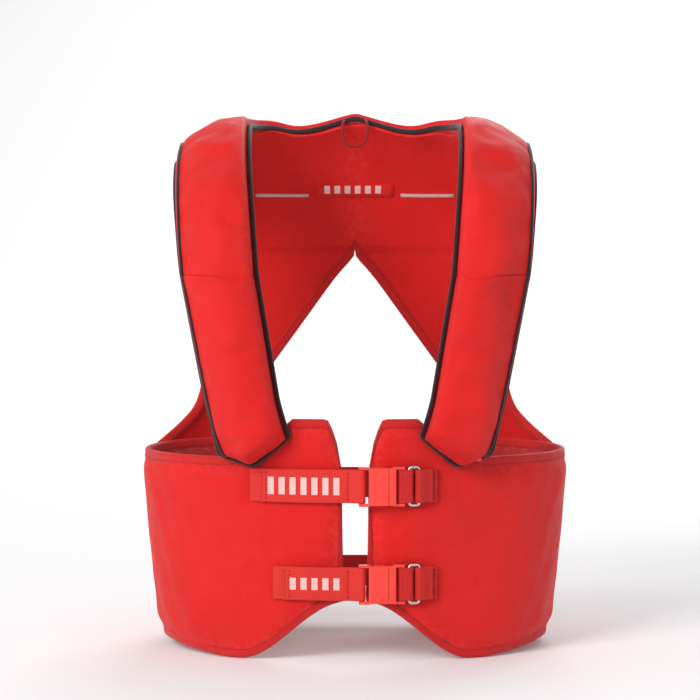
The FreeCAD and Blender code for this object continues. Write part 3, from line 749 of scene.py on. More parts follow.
def back_drop(x):
    return 0.0 if x <= 0.070 else rear_radius - math.sqrt(rear_radius ** 2 - (x - 0.070) ** 2)


def surface(x, s):
    """Point of the jacket's outer surface: s is minus the millimetres below
    the front spring line, 0 to 180 degrees over the shoulder, and 180 plus
    the millimetres below the back spring line."""
    angle = math.radians(min(max(s, 0.0), 180.0))
    front = math.cos(angle) >= 0
    depth = front_depth if front else back_depth
    spring = front_spring if front else back_spring
    drop = front_radius - math.sqrt(front_radius ** 2 - x ** 2) if front else back_drop(x)
    y = (drop - depth) * math.cos(angle)
    z = spring + (shoulder_top - spring - shoulder_drop(x)) * math.sin(angle)
    return Vector((x, y, z + (min(s, 0.0) - max(s - 180.0, 0.0)) * 0.001))


def outward(x, s):
    """Direction in which padding stands off the surface."""
    across = surface(x + 0.0005, s) - surface(max(x - 0.0005, 0.0), s)
    along = surface(x, s + 0.5) - surface(x, s - 0.5)
    normal = across.cross(along)
    normal.x *= 0.3
    return normal.normalized()


def on_jacket(x, s, n):
    """Point n off the surface, on either side of the wearer."""
    side = -1.0 if x < 0 else 1.0
    place = surface(abs(x), s) + outward(abs(x), s) * n
    place.x *= side
    return place


def smoothed(stops, steps):
    """Points of a smooth curve through the stops, each a tuple of numbers."""
    ends = [stops[0]] + list(stops) + [stops[-1]]
    result = []
    for before, start, end, after in zip(ends, ends[1:], ends[2:], ends[3:]):
        for step in range(steps):
            t = step / steps
            result.append(tuple(
                0.5 * (2 * b + (c - a) * t + (2 * a - 5 * b + 4 * c - d) * t ** 2
                       + (3 * b - 3 * c + d - a) * t ** 3)
                for a, b, c, d in zip(before, start, end, after)))
    return result + [tuple(stops[-1])]


yoke_rows = smoothed(yoke_stations, 5)


def yoke_relief(x, s):
    """Soft folds of the unsupported cloth."""
    return noise.noise(Vector((x * 22, s * 0.022, 9.0))) * 0.0016


def yoke_sheet():
    """Both sides of the yoke as one open sheet, joined at the centre."""
    shape = bmesh.new()
    uv = shape.loops.layers.uv.new("cloth")
    wear = shape.verts.layers.float.new("wear")
    for side in (1, -1):
        rows = []
        for s, inner, outer in yoke_rows:
            row = []
            for k in range(yoke_steps + 1):
                x = max(inner, 0.0) + (outer - max(inner, 0.0)) * k / yoke_steps
                x = side * x if x else 0.0
                corner = shape.verts.new(on_jacket(x, s, yoke_relief(x, s) + yoke_middle))
                corner[wear] = 1 - ramp(min(k, yoke_steps - k), 0, 2)
                row.append((corner, (x, s * 0.001 if s > 180 else s * 0.0019)))
            rows.append(row)
        for low, high in zip(rows, rows[1:]):
            for k in range(yoke_steps):
                cells = [low[k], low[k + 1], high[k + 1], high[k]]
                face = shape.faces.new([cell[0] for cell in cells])
                for loop, cell in zip(face.loops, cells):
                    loop[uv].uv = cell[1]
    bmesh.ops.remove_doubles(shape, verts=shape.verts, dist=0.0001)
    bmesh.ops.recalc_face_normals(shape, faces=shape.faces)
    mesh = bpy.data.meshes.new("yoke_sheet")
    shape.to_mesh(mesh)
    shape.free()
    face_outwards(mesh, False)
    mesh.shade_smooth()
    return mesh


thick_cloth = ("SOLIDIFY", {"thickness": yoke_thickness, "offset": 0.0, "use_even_offset": True})
yoke = finished("yoke_cloth", yoke_sheet(), thick_cloth, subdivided)
yoke = add_piece("yoke_cloth", yoke, cover_cloth)
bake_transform(yoke)
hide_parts("left_yoke", "right_yoke")


def frames_on(stops, n, closed):
    """Frames along (x, s) stops on the jacket, n off it."""
    frames = []
    last = len(stops) - 1
    for k, (x, s) in enumerate(stops):
        before = stops[k - 1] if closed else stops[max(k - 1, 0)]
        after = stops[(k + 1) % len(stops)] if closed else stops[min(k + 1, last)]
        along = (on_jacket(*after, 0.0) - on_jacket(*before, 0.0)).normalized()
        up = outward(abs(x), s)
        up.x *= -1.0 if x < 0 else 1.0
        frames.append((on_jacket(x, s, n), along.cross(up).normalized(), up))
    return frames


def edge_frames(stops, inward):
    """Frames along an edge given as (x, s) stops, with the cloth's side inward."""
    frames = []
    for (place, across, up), (x, _) in zip(frames_on(stops, yoke_middle, False), stops):
        frames.append((place, -across if across.x * inward(x) < 0 else across, up))
    return frames


vee_rows = [row for row in yoke_rows if row[0] >= 178.5]
vee_edge = [(-x, s) for s, x, _ in reversed(vee_rows)] + [(0.0, 177.6)]
vee_edge += [(x, s) for s, x, _ in vee_rows]
edges = {"yoke_vee": (vee_edge, lambda x: 1.0 if x >= 0 else -1.0)}
for label, side in (("left", 1), ("right", -1)):
    edges[label + "_armhole"] = ([(side * outer, s) for s, _, outer in yoke_rows],
                                 lambda x, side=side: -side)
tape_section = folded_tape(0.0055, yoke_thickness / 2 + 0.0001, 0.0005)
for label, (stops, inward) in edges.items():
    frames = edge_frames(stops, inward)
    tape = add_piece(label + "_tape", sweep(label, frames, tape_section, False), binding_red)
    lines = [[place + across * 0.004 + up * face * 0.0021 for place, across, up in frames]
             for face in (1, -1)]
    seam = sew(label + "_seam", lines, seam_thread)
    for piece in (tape, seam):
        if label == "yoke_vee":
            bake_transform(piece)
        else:
            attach(piece, "left_half" if label.startswith("left") else "root")
    if label != "yoke_vee":
        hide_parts(label.split("_")[0] + "_yoke_binding")


def marked_webbing(name, colour, faded, level, first, last, tall):
    """Webbing with evenly spaced pale bars along its middle: print on the front straps, a painted
    highlight on the collar.
    """
    material = webbing(name, colour, faded)
    tree = material.node_tree
    shader = tree.nodes["Principled BSDF"]
    under = shader.inputs["Base Color"].links[0].from_socket
    parts = add_node(tree, "ShaderNodeSeparateXYZ",
                     {0: add_node(tree, "ShaderNodeTexCoord").outputs["Object"]})
    pitch, bar = 0.0082, 0.0046
    phase = math_node(tree, "FLOORED_MODULO", parts.outputs[0], pitch)
    on_bar = math_node(tree, "LESS_THAN", phase, bar)
    off = math_node(tree, "ABSOLUTE", math_node(tree, "SUBTRACT", parts.outputs[2], level))
    middle = math_node(tree, "LESS_THAN", off, tall / 2)
    start = math_node(tree, "GREATER_THAN", parts.outputs[0], first)
    end = math_node(tree, "LESS_THAN", parts.outputs[0], last)
    mask = math_node(tree, "MULTIPLY", math_node(tree, "MULTIPLY", on_bar, middle),
                     math_node(tree, "MULTIPLY", start, end))
    # Pale bars: print on the straps, a painted highlight where this cloth is used below the collar.
    pale_bars = math_node(tree, "MULTIPLY", mask, 0.85)
    printed = add_node(tree, "ShaderNodeMix", {0: pale_bars, 6: under, 7: (0.90, 0.66, 0.62, 1.0)},
                       data_type="RGBA")
    tree.links.new(printed.outputs[2], shader.inputs["Base Color"])
    return material


def highlight_patch(name, first, last, low, high):
    """Thin patch level on the yoke's inner face, between two x and two z values, that carries a painted
    highlight.
    """
    across = max(int(abs(last - first) / 0.004), 2)
    rows = []
    for i in range(4):
        z = low + (high - low) * i / 3
        row = []
        for j in range(across + 1):
            x = first + (last - first) * j / across
            rise = shoulder_top - back_spring - shoulder_drop(abs(x))
            s = 180 - math.degrees(math.asin((z - back_spring) / rise))
            face = yoke_relief(x, s) + yoke_middle - yoke_thickness / 2
            near, far = on_jacket(x, s, face - 0.0008), on_jacket(x, s, face + 0.0003)
            row.append((near, far, x, z, 0.0))
        rows.append(row)
    return from_cells(name, rows, True)


# Painted highlights below the collar on the yoke's inner face: a red patch with pale bars in the middle,
# and a thin pale line on each side.
middle_highlight_height = 0.352
middle_highlight_cloth = marked_webbing("collar_label_cloth", cover_red, (0.86, 0.10, 0.08, 1.0),
                             middle_highlight_height, -0.0250, 0.0212, 0.0062)
side_highlight_cloth = woven_cloth("collar_line_tape", (0.72, 0.50, 0.47, 1.0), 0.0006, 0.5, 0.1,
                        (0.86, 0.70, 0.66, 1.0), 0.0002)
collar_highlights = {
    "collar_label": (-0.0315, 0.0315, 0.3468, 0.3572, middle_highlight_cloth),
    "left_collar_line": (0.037, 0.080, 0.3472, 0.3498, side_highlight_cloth),
    "right_collar_line": (-0.080, -0.037, 0.3472, 0.3498, side_highlight_cloth),
}
for label, (first, last, low, high, material) in collar_highlights.items():
    mark = add_piece(label, highlight_patch(label, first, last, low, high), material)
    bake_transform(mark)


def round_section(across, up=None, steps=8):
    """Round section of a cord or wire."""
    turns = [2 * math.pi * step / steps for step in range(steps)]
    return [(across * math.cos(turn), (up or across) * math.sin(turn)) for turn in turns]


loop_low, loop_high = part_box("hanging_loop")
loop_front = (loop_low.y + loop_high.y) / 2
loop_half = [(0.0085, 0.0515, 0.4070), (0.0094, 0.0470, 0.4058), (0.0098, loop_front, 0.4000),
             (0.0094, loop_front, 0.3935), (0.0062, loop_front, 0.3882)]
loop_stops = [(-x, y, z) for x, y, z in loop_half] + [(0.0, loop_front, 0.3866)] + loop_half[::-1]
loop_points = [Vector(stop) for stop in smoothed(loop_stops, 4)]
loop_path = []
for k, place in enumerate(loop_points):
    along = (loop_points[min(k + 1, len(loop_points) - 1)] - loop_points[max(k - 1, 0)]).normalized()
    across = along.cross(Vector((0.0, 1.0, 0.2))).normalized()
    loop_path.append((place, across, across.cross(along)))
loop_tape = woven_cloth("loop_tape", (0.36, 0.010, 0.012, 1.0), 0.0006, 0.6, 0.1,
                        (0.55, 0.06, 0.06, 1.0), 0.0002)
loop = sweep("loop", loop_path, round_section(0.0013, 0.0012), False)
loop = finished("collar_loop", loop, subdivided)
loop = add_piece("collar_loop", loop, loop_tape)
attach(loop, "root")
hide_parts("hanging_loop")

# -------------------------------------------------------------------- lobes
# Each lobe is a crowned casing of cover cloth sewn to a backing along both
# edges, from a blunt tip on the chest over the shoulder to the nape, where
# the two meet. Over the chest its roof is a flap. A dark tape binds the edges.
casing_thickness = 0.0016
backing_thickness = 0.0012
lobe_clear = 0.001
seam_height = 0.0086
edge_width = 0.0026
casing_girth = 0.075
lobe_bottom = -146.0
tip_start = -92.0
round_start, tip_round = -118.0, 14.0
lobe_stations = [
    (0.0487, -146, 0.1024, -146), (0.0577, -92, 0.113, -92), (0.0653, -46, 0.122, -46),
    (0.073, 0, 0.131, 0), (0.076, 20, 0.134, 20), (0.079, 45, 0.137, 45), (0.080, 68, 0.138, 68),
    (0.080, 88, 0.138, 90), (0.078, 101, 0.134, 112), (0.070, 112, 0.118, 132),
    (0.054, 118, 0.088, 148), (0.030, 121, 0.046, 156), (0.0, 122, 0.0, 159),
]
half_roof = (0.0, 0.025, 0.07, 0.14, 0.23, 0.34, 0.45)
roof_shares = half_roof + (0.55, 0.66, 0.77, 0.86, 0.93, 0.975, 1.0)
seam_columns = 5
lobe_rows = []
for first, last in zip(lobe_stations, lobe_stations[1:]):
    steps = 9 if last[1] <= 0 else 5
    lobe_rows += [tuple(a + (b - a) * k / steps for a, b in zip(first, last)) for k in range(steps)]
lobe_rows.append(lobe_stations[-1])
arch_start = next(k for k, row in enumerate(lobe_rows) if row[1] >= 0)
arch = smoothed(lobe_stations[2:], 5)[5:]
lobe_rows[arch_start:] = arch


def lobe_height(s):
    """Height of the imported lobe: full on the chest, thinner at tip and nape."""
    if s <= 0:
        return 0.026 + 0.005 * min((s - lobe_bottom) / 28.0, 1.0)
    if s <= 90:
        return 0.031 - 0.011 * (1 - math.cos(math.radians(2 * s))) / 2
    return 0.020 - 0.007 * min((s - 90.0) / 50.0, 1.0)


def crown(s, share):
    """Height of the casing across the lobe, round like a bolster."""
    rise = max(1.0 - abs(2.0 * share - 1.0) ** 2.6, 0.0) ** 0.6
    return seam_height + (lobe_height(s) - seam_height) * rise


def tip_line(x):
    """Height at which the lobe's lower end is cut, as an s value."""
    inner = 168.0 - (x - 0.050) * 1000 * 22 / 26
    outer = 146.0 + (x - 0.076) * 1000 * 11 / 34
    return max(inner, outer) - 290.0


def lobe_place(row, share):
    """Place across a row, from its inner to its outer edge, as (x, s)."""
    x = row[0] + (row[2] - row[0]) * share
    s = row[1] + (row[3] - row[1]) * share
    if s < tip_start:
        s += (tip_line(x) - lobe_bottom) * (tip_start - s) / (tip_start - lobe_bottom)
    return x, s


def lobe_width(row):
    return (on_jacket(row[2], row[3], 0.0) - on_jacket(row[0], row[1], 0.0)).length


def both_sides(rows):
    """The left lobe's rows from tip to nape, then the right one's from nape to tip."""
    return [(row, 1) for row in rows] + [(row, -1) for row in reversed(rows[:-1])]


def casing_cells():
    """Cells of the whole casing as one open cloth from tip to tip. The left tip
    has a mouth that the inflator's toggle is pulled out through."""
    floor = lobe_clear + backing_thickness
    columns = [(0.0, 0.0), (0.0, 0.5)] + [(share, 1.0) for share in roof_shares]
    columns += [(1.0, 0.5), (1.0, 0.0)]
    rows = []
    run = 0.0
    previous = None
    for row, side in both_sides(lobe_rows):
        edge = edge_width / lobe_width(row)
        middle = on_jacket(*lobe_place(row, 0.5), 0.0)
        middle.x *= side
        run += (middle - previous).length if previous else 0.0
        previous = middle
        cells = []
        for share, lift in columns:
            share = edge + (1 - 2 * edge) * share
            x, s = lobe_place(row, share)
            roof = crown(s, share)
            if s < round_start:
                from_tip = max(s - tip_line(x), 0.0)
                round_end = math.sqrt(max(1 - (1 - min(from_tip / tip_round, 1.0)) ** 2, 0.0))
                mouth = 0.5 * ramp(share, 0.36, 0.45) * (1 - ramp(share, 0.78, 0.88))
                roof = floor + (roof - floor) * max(round_end, 0.12, mouth if side > 0 else 0.0)
            height = floor + (roof - floor) * lift
            place = on_jacket(x, s, height)
            place.x *= side
            wear = 0.6 - 0.6 * ramp(abs(min(share, 1 - share) - 0.06), 0.01, 0.05)
            cells.append((place, None, (share - 0.5) * casing_girth, run, wear))
        rows.append(cells)
    return rows


def blown_up(mesh, pinned):
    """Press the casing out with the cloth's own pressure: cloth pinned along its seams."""
    cloth = bpy.data.objects.new("casing_work", mesh)
    bpy.context.scene.collection.objects.link(cloth)
    cloth.vertex_groups.new(name="sewn").add(pinned, 1.0, "REPLACE")
    modifier = cloth.modifiers.new("cloth", "CLOTH")
    settings = modifier.settings
    settings.vertex_group_mass = "sewn"
    settings.quality = 6
    settings.mass = 0.12
    settings.tension_stiffness = 20.0
    settings.compression_stiffness = 20.0
    settings.shear_stiffness = 8.0
    settings.bending_stiffness = 0.4
    settings.shrink_min = -0.035
    settings.use_pressure = True
    settings.uniform_pressure_force = 3.0
    settings.effector_weights.gravity = 0.0
    start = [corner.co.copy() for corner in mesh.vertices]
    for number in range(1, 21):
        bpy.context.scene.frame_set(number)
    graph = bpy.context.evaluated_depsgraph_get()
    moved = cloth.evaluated_get(graph).data
    most = 0.0045
    ends = []
    for before, after in zip(start, moved.vertices):
        shift = after.co - before
        ends.append(before + shift * min(1.0, most / max(shift.length, 1e-9)))
    cloth.modifiers.remove(modifier)
    cloth.vertex_groups.clear()
    bpy.context.scene.frame_set(1)
    bpy.data.objects.remove(cloth)
    for corner, place in zip(mesh.vertices, ends):
        corner.co = place
    mesh.update()


casing_rows = casing_cells()
casing_wide = len(casing_rows[0])
whole_casing = from_cells("whole_casing", casing_rows, False)
sewn_down = [i * casing_wide + j for i in range(len(casing_rows)) for j in range(casing_wide)
             if i in (0, len(casing_rows) - 1) or not seam_columns <= j < casing_wide - seam_columns]
blown_up(whole_casing, sewn_down)


def casing_relief(share, run):
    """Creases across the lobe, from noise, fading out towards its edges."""
    inside = ramp(min(share, 1 - share), 0.10, 0.30)
    fine = noise.noise(Vector((share * 2.6, run * 55, 3.0))) * 0.0012
    broad = noise.noise(Vector((share * 4.0, run * 20, 6.0))) * 0.0016
    return inside * (fine + broad)


def casing_part(first, last, drop):
    """Cells of some rows of the finished casing, with its free end tucked by drop."""
    rows = []
    for i in range(first, last + 1):
        cells = []
        for j, cell in enumerate(casing_rows[i]):
            corner = whole_casing.vertices[i * casing_wide + j]
            tuck = drop if i in (first, last) else 0.0
            stand = casing_relief(cell[2] / casing_girth + 0.5, cell[3]) - tuck
            cells.append((corner.co + corner.normal * stand,) + cell[1:])
        rows.append(cells)
    return rows


last_row = len(casing_rows) - 1
casing_wall = ("SOLIDIFY", {"thickness": casing_thickness, "offset": -1.0, "use_even_offset": True})

casing = from_cells("casing", casing_part(arch_start - 1, last_row - arch_start + 1, 0.0022), False)
casing = finished("shoulder_casing", casing, casing_wall, subdivided)
casing = add_piece("shoulder_casing", casing, cover_cloth)
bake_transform(casing)
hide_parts("left_lobe_casing", "right_lobe_casing")
for label, first, last in (("left", 0, arch_start), ("right", last_row - arch_start, last_row)):
    flap = from_cells("flap", casing_part(first, last, 0.0), False)
    flap = finished("flap", flap, casing_wall, subdivided)
    flap = add_piece(label + "_chest_flap", flap, cover_cloth)
    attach(flap, label + "_flap")
    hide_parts(label + "_lobe_flap")


def backing_cells():
    """Cells of the whole backing as one open cloth from tip to tip."""
    inset, steps = 0.0012, 8
    rows = []
    for row, side in both_sides(lobe_rows):
        cells = []
        for step in range(steps + 1):
            edge = inset / lobe_width(row)
            share = edge + (1 - 2 * edge) * step / steps
            x, s = lobe_place(row, share)
            place = on_jacket(x, s, lobe_clear + backing_thickness / 2)
            place.x *= side
            wear = 1 - ramp(min(share, 1 - share), 0.03, 0.15)
            cells.append((place, None, (share - 0.5) * 0.06, s * 0.001, wear))
        rows.append(cells)
    return rows


backing_wall = ("SOLIDIFY", {"thickness": backing_thickness, "offset": 0.0, "use_even_offset": True})
backing = finished("lobe_backing", from_cells("backing", backing_cells(), False), backing_wall)
backing = add_piece("shoulder_backing", backing, lining_cloth)
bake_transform(backing)
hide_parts("left_lobe_backing", "right_lobe_backing")

dark_tape = woven_cloth("lobe_binding_tape", (0.030, 0.010, 0.013, 1.0), 0.0008, 0.6, 0.2,
                        (0.14, 0.05, 0.05, 1.0), 0.0003)


def lobe_edge(share):
    """Edge of both lobes from the left tip round the nape to the right tip."""
    places = [(side, lobe_place(row, share)) for row, side in both_sides(lobe_rows)]
    return [(side * x, s) for side, (x, s) in places]


def tip_edge(side, shares):
    """Edge across one lobe's tip."""
    return [(side * x, s) for x, s in (lobe_place(lobe_rows[0], share) for share in shares)]


inner_shares = [k / 10 for k in range(1, 10)]
binding_loop = lobe_edge(0.0) + tip_edge(-1, inner_shares) + lobe_edge(1.0)[::-1]
binding_loop += tip_edge(1, inner_shares[::-1])


def piping_section():
    """Round-cornered section of the tape where it is rolled over the edge."""
    half, tall, steps = 0.0015, 0.0022, 12
    corners = []
    for step in range(steps):
        angle = 2 * math.pi * step / steps
        turn = (math.cos(angle), math.sin(angle))
        across, up = (math.copysign(abs(value) ** 0.7, value) for value in turn)
        corners.append((half * across, tall * up))
    return corners


binding_height = 0.003
binding = sweep("lobe_binding", frames_on(binding_loop, binding_height, True), piping_section(), True)
binding = add_piece("lobe_edge_tape", finished("lobe_edge_tape", binding, subdivided), dark_tape)
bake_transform(binding)
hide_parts("left_lobe_binding", "right_lobe_binding")


def corner_piping(label, first, last):
    """Dark piping let into the outer corner seam of the casing's roof."""
    column = casing_wide - seam_columns
    frames = []
    path = [whole_casing.vertices[i * casing_wide + column] for i in range(first, last + 1)]
    for k, corner in enumerate(path):
        along = (path[min(k + 1, len(path) - 1)].co - path[max(k - 1, 0)].co).normalized()
        up = (corner.normal - along * corner.normal.dot(along)).normalized()
        frames.append((corner.co + up * 0.0004, along.cross(up), up))
    piping = add_piece(label + "_piping", sweep(label, frames, round_section(0.0013), False), dark_tape)
    return piping


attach(corner_piping("left_flap", 0, arch_start), "left_flap")
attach(corner_piping("right_flap", last_row - arch_start, last_row), "right_flap")
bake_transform(corner_piping("shoulder", arch_start, last_row - arch_start))

# ------------------------------------------------------------------ bladder
# The air bladder is coated cloth, folded into a flat concertina that lies
# along each lobe: beside the inflator on the chest, full width above it.
bladder_cloth = woven_cloth("bladder_cloth", (0.78, 0.26, 0.02, 1.0), 0.0005, 0.38, 0.0,
                            (0.86, 0.4, 0.1, 1.0), 0.0004)
fold_count = 4
fold_round = 0.045
bladder_floor = 0.0034
bladder_clear = 0.0062
bladder_end = 0.84


def fold_section(low, high):
    """Outline of a stack of folds between two edges: (share across, share up)."""
    edge = []
    for fold in range(fold_count):
        for step in range(6):
            angle = math.pi * (step + 0.5) / 6
            edge.append((fold_round * math.sin(angle), (fold + (1 - math.cos(angle)) / 2) / fold_count))
    right = [(high - fold_round + out, up) for out, up in edge]
    left = [(low + fold_round - out, up) for out, up in reversed(edge)]
    return right + [(high - (high - low) * k / 5, 1.0) for k in range(1, 5)] + left \
        + [(low + (high - low) * k / 5, 0.0) for k in range(1, 5)]


def bladder(side, label, body):
    """One half of the bladder as a stack of folds along its lobe."""
    stations = [(row, 0.73) for row in lobe_rows if tip_start <= row[1] <= 8]
    stations += [(row, 0.2) for row in lobe_rows if row[1] >= 18]
    count = len(fold_section(0.2, bladder_end))
    points, faces = [], []
    for row, low in stations:
        for share, up in fold_section(low, bladder_end):
            x, s = lobe_place(row, share)
            top = crown(s, share) - bladder_clear
            place = on_jacket(x, s, bladder_floor + (top - bladder_floor) * up)
            place.x *= side
            points.append(place)
    for i in range(len(stations) - 1):
        for j in range(count):
            k = (j + 1) % count
            faces.append((i * count + j, i * count + k, (i + 1) * count + k, (i + 1) * count + j))
    faces += [tuple(range(count)), tuple(range((len(stations) - 1) * count, len(stations) * count))]
    uvs = [(points[k].x, points[k].z) for face in faces for k in face]
    mesh = cloth_mesh(label, points, faces, uvs, True)
    folded = add_piece(label + "_folded_bladder", mesh, bladder_cloth)
    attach(folded, body)
    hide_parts(label + "_bladder")


bladder(1, "left", "left_half")
bladder(-1, "right", "root")

# ------------------------------------------------------------ front closures
# Upper and lower closures. A long webbing strap sewn on the right panel
# holds a side-release socket. The plug is linked by a short webbing loop to
# a steel ring, which a webbing tab sews to the left panel.
bar_height = 0.0043
bar_radius = 0.0012
socket_bar = 0.0046
plug_bar = 0.0338
ring_near_bar = 0.0398
ring_far_bar = 0.0474
ring_height = 0.031
link_turn = 0.0023
tab_end = 0.062
stitch_half = 0.0095
strap_ends = {"upper": -0.080, "lower": -0.062}


def front_frame(a, n, z, lean):
    """Frame above the band's round front: a along it, n off it, lean in degrees."""
    angle = a / front_radius
    out = Vector((math.sin(angle), -math.cos(angle), 0))
    ahead = Vector((math.cos(angle), math.sin(angle), 0))
    place = Vector((0, centre_back_y, z)) + out * (front_radius + n)
    up = out * math.cos(lean) - ahead * math.sin(lean)
    return place, Vector((0, 0, 1)), up


def webbing_path(stops, z, closed=False):
    """Frames along webbing whose middle runs through (a, n) stops."""
    if closed:
        stops = stops[-1:] + stops + stops[:2]
    path = smoothed(stops, 4)
    if closed:
        path = path[4:-8]
    frames = []
    for k, (a, n) in enumerate(path):
        if closed:
            before, after = path[k - 1], path[(k + 1) % len(path)]
        else:
            before, after = path[max(k - 1, 0)], path[min(k + 1, len(path) - 1)]
        lean = math.atan2(after[1] - before[1], after[0] - before[0])
        frames.append(front_frame(a, n, z, lean))
    return frames


def round_bar(bar, radius, first, last):
    """Stops round a bar, from one angle to another."""
    steps = 6
    turns = [math.radians(first + (last - first) * k / steps) for k in range(steps + 1)]
    return [(bar + radius * math.cos(t), bar_height + radius * math.sin(t)) for t in turns]


def strap_stops(end, bar):
    """Webbing flat on the band, round a bar and back over itself."""
    side = 1.0 if bar > end else -1.0
    turn = bar_radius + webbing_thickness / 2 + 0.0003
    flat, folded = 0.0011, 0.0028
    count = max(int(abs(bar - end) / 0.009), 3)
    under = [(end + (bar - side * 0.006 - end) * k / count, flat) for k in range(count + 1)]
    bend = round_bar(0.0, turn, -80, 95)
    bend = [(bar + side * a, n) for a, n in bend]
    start_back = bar - side * 0.0105
    over = [(start_back + (end + side * 0.008 - start_back) * k / count, folded)
            for k in range(count + 1)]
    return under + bend + [(bar - side * 0.0035, 0.0054), (bar - side * 0.0065, 0.0038)] + over


front_web = webbing("front_webbing_red", (0.66, 0.016, 0.013, 1.0), (0.88, 0.12, 0.09, 1.0))
section = webbing_section(webbing_width, webbing_thickness)
buckle_plastic = moulded_plastic("buckle_plastic", (0.82, 0.042, 0.028, 1.0),
                                 (0.95, 0.30, 0.22, 1.0), 0.36)
printed = {"upper": (-0.0660, -0.0082, 0.013), "lower": (-0.0495, -0.0082, 0.009)}


def level_box(a0, a1, z, n, half):
    """Sewn box on the front, between two arc lengths."""
    corners = [(a0, z - half), (a1, z - half), (a1, z + half), (a0, z + half)]
    return box_stitch([front_frame(a, n, height, 0.0)[0] for a, height in corners])


def brushed_steel(name, colour, roughness):
    """Polished steel with fine drawn scratches and a little tarnish."""
    material, tree, shader, place = new_material(name)
    stretched = add_node(tree, "ShaderNodeMapping", {"Vector": place, "Scale": (1600.0, 1600.0, 120.0)})
    scratch = add_node(tree, "ShaderNodeTexNoise",
                       {"Vector": stretched.outputs[0], "Scale": 1.0, "Detail": 3.0}).outputs[0]
    tree.links.new(mottled(tree, place, colour, 0.22)[0], shader.inputs["Base Color"])
    tree.links.new(uneven(tree, scratch, roughness - 0.08, roughness + 0.12), shader.inputs["Roughness"])
    relief = add_node(tree, "ShaderNodeBump", {"Height": scratch, "Distance": 0.00003})
    tree.links.new(relief.outputs[0], shader.inputs["Normal"])
    shader.inputs["Metallic"].default_value = 1.0
    return material


bright_steel = brushed_steel("ring_steel", (0.62, 0.61, 0.60, 1.0), 0.28)


def steel_ring(label, level):
    """Rectangular ring of round wire, with bent corners."""
    half = ring_height / 2 - bar_radius
    bend = 0.0022
    middle = (ring_near_bar + ring_far_bar) / 2
    reach = (ring_far_bar - ring_near_bar) / 2
    path = []
    for corner, (da, dz) in enumerate(((1, 1), (-1, 1), (-1, -1), (1, -1))):
        for step in range(7):
            angle = math.radians(90 * corner + 15 * step)
            path.append((middle + da * (reach - bend) + bend * math.cos(angle),
                         level + dz * (half - bend) + bend * math.sin(angle)))
    frames = []
    for k, (a, z) in enumerate(path):
        before, after = path[k - 1], path[(k + 1) % len(path)]
        place, _, out = front_frame(a, bar_height, z, 0.0)
        ahead = front_frame(after[0], bar_height, after[1], 0.0)[0]
        behind = front_frame(before[0], bar_height, before[1], 0.0)[0]
        along = (ahead - behind).normalized()
        frames.append((place, along.cross(out).normalized(), out))
    wire = round_section(bar_radius, steps=12)
    ring = add_piece(label + "_steel_ring", sweep(label, frames, wire, True), bright_steel)
    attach(ring, "left_half")
    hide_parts(label + "_ring")


link_stops = round_bar(plug_bar, link_turn, 90, 270) + round_bar(ring_near_bar, link_turn, -90, 90)
for label, level in strap_levels.items():
    first, last, tall = printed[label]
    strap_web = marked_webbing(label + "_strap_webbing", (0.80, 0.030, 0.022, 1.0),
                               (0.92, 0.16, 0.12, 1.0), level, first, last, tall)
    pieces = (
        ("_front_strap", strap_stops(strap_ends[label], socket_bar), "_strap", "root", strap_web, False),
        ("_panel_tab", strap_stops(tab_end, ring_far_bar), "_tab", "left_half", front_web, False),
        ("_ring_link", link_stops, "_link", "left_half", front_web, True),
    )
    for ending, stops, node, body, material, closed in pieces:
        frames = webbing_path(stops, level, closed)
        piece = add_piece(label + ending, sweep(label + ending, frames, section, closed), material)
        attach(piece, body)
        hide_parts(label + node)
    end = strap_ends[label]
    lines = level_box(end + 0.0095, end + 0.0130, level, 0.0037, stitch_half)[:4]
    lines += level_box(-0.0056, 0.0, level, 0.0040, stitch_half)[:4]
    seam = sew(label + "_strap_seam", lines, seam_thread, 0.0026, 0.0021, 0.0006)
    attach(seam, "root")
    seam = sew(label + "_tab_seam", level_box(0.0548, 0.0605, level, 0.0030, stitch_half),
               seam_thread, 0.0026, 0.0021, 0.0006)
    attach(seam, "left_half")
    steel_ring(label, level)
    softened(label + "_buckle_socket", "root", buckle_plastic, 0.0009)
    softened(label + "_buckle_plug", "left_half", buckle_plastic, 0.0008)
    for place in ("top", "bottom"):
        softened("{}_buckle_arm_{}".format(label, place), "{}_arm_{}".format(label, place),
                 buckle_plastic, 0.0006)

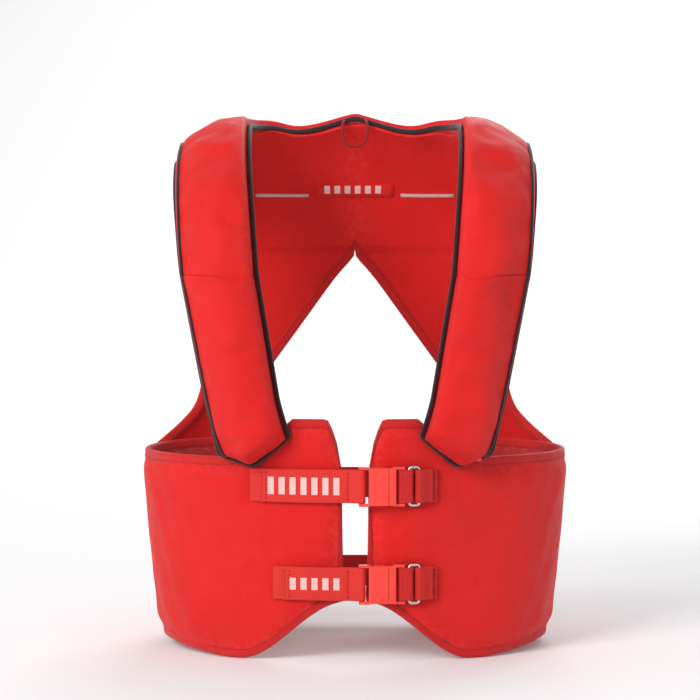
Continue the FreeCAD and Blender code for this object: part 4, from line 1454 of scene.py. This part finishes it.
# ---------------------------------------------------------------- inflation
# Inside the left lobe: the moulded inflator with its steel gas cylinder,
# water-sensing cartridge, manual lever on a steel pin, cord and toggle.
# Inside the right lobe: the oral tube with its valve, and the whistle.
inflation_parts = [
    ("inflator_body", "left_half", black_plastic, "inflator_plastic", 0.0008),
    ("lever_pin", "left_half", bright_steel, "pin_steel", 0.0002),
    ("gas_cylinder", "cylinder", brushed_steel("cylinder_steel", (0.62, 0.63, 0.64, 1.0), 0.34),
     "cylinder_steel", 0.0005),
    ("auto_cartridge", "left_half",
     moulded_plastic("cartridge_plastic", (0.72, 0.55, 0.03, 1.0), (0.85, 0.72, 0.2, 1.0), 0.4),
     "cartridge_plastic", 0.0006),
    ("inflator_lever", "lever",
     moulded_plastic("lever_plastic", (0.70, 0.04, 0.02, 1.0), (0.86, 0.2, 0.14, 1.0), 0.4),
     "lever_plastic", 0.0006),
    ("pull_toggle", "toggle",
     moulded_plastic("toggle_plastic", (0.80, 0.04, 0.025, 1.0), (0.9, 0.24, 0.18, 1.0), 0.4),
     "toggle_plastic", 0.0004),
    ("pull_cord", "toggle",
     woven_cloth("cord_braid", (0.72, 0.70, 0.66, 1.0), 0.0007, 0.6, 0.1, (0.9, 0.88, 0.85, 1.0), 0.0002),
     "pull_cord", 0.0003),
    ("oral_tube", "root",
     moulded_plastic("tube_rubber", (0.025, 0.025, 0.027, 1.0), (0.09, 0.09, 0.09, 1.0), 0.62, 0.00008),
     "tube_rubber", 0.0004),
    ("oral_valve", "root",
     moulded_plastic("valve_plastic", (0.75, 0.05, 0.03, 1.0), (0.9, 0.24, 0.16, 1.0), 0.38),
     "valve_plastic", 0.0006),
    ("oral_valve_button", "valve_button",
     moulded_plastic("button_plastic", (0.03, 0.03, 0.032, 1.0), (0.12, 0.12, 0.12, 1.0), 0.38),
     "valve_plastic", 0.0004),
    ("whistle", "root",
     moulded_plastic("whistle_plastic", (0.82, 0.30, 0.02, 1.0), (0.92, 0.5, 0.2, 1.0), 0.36),
     "whistle_plastic", 0.0004),
]
for node, body, material, slot, radius in inflation_parts:
    softened(node, body, material, radius)
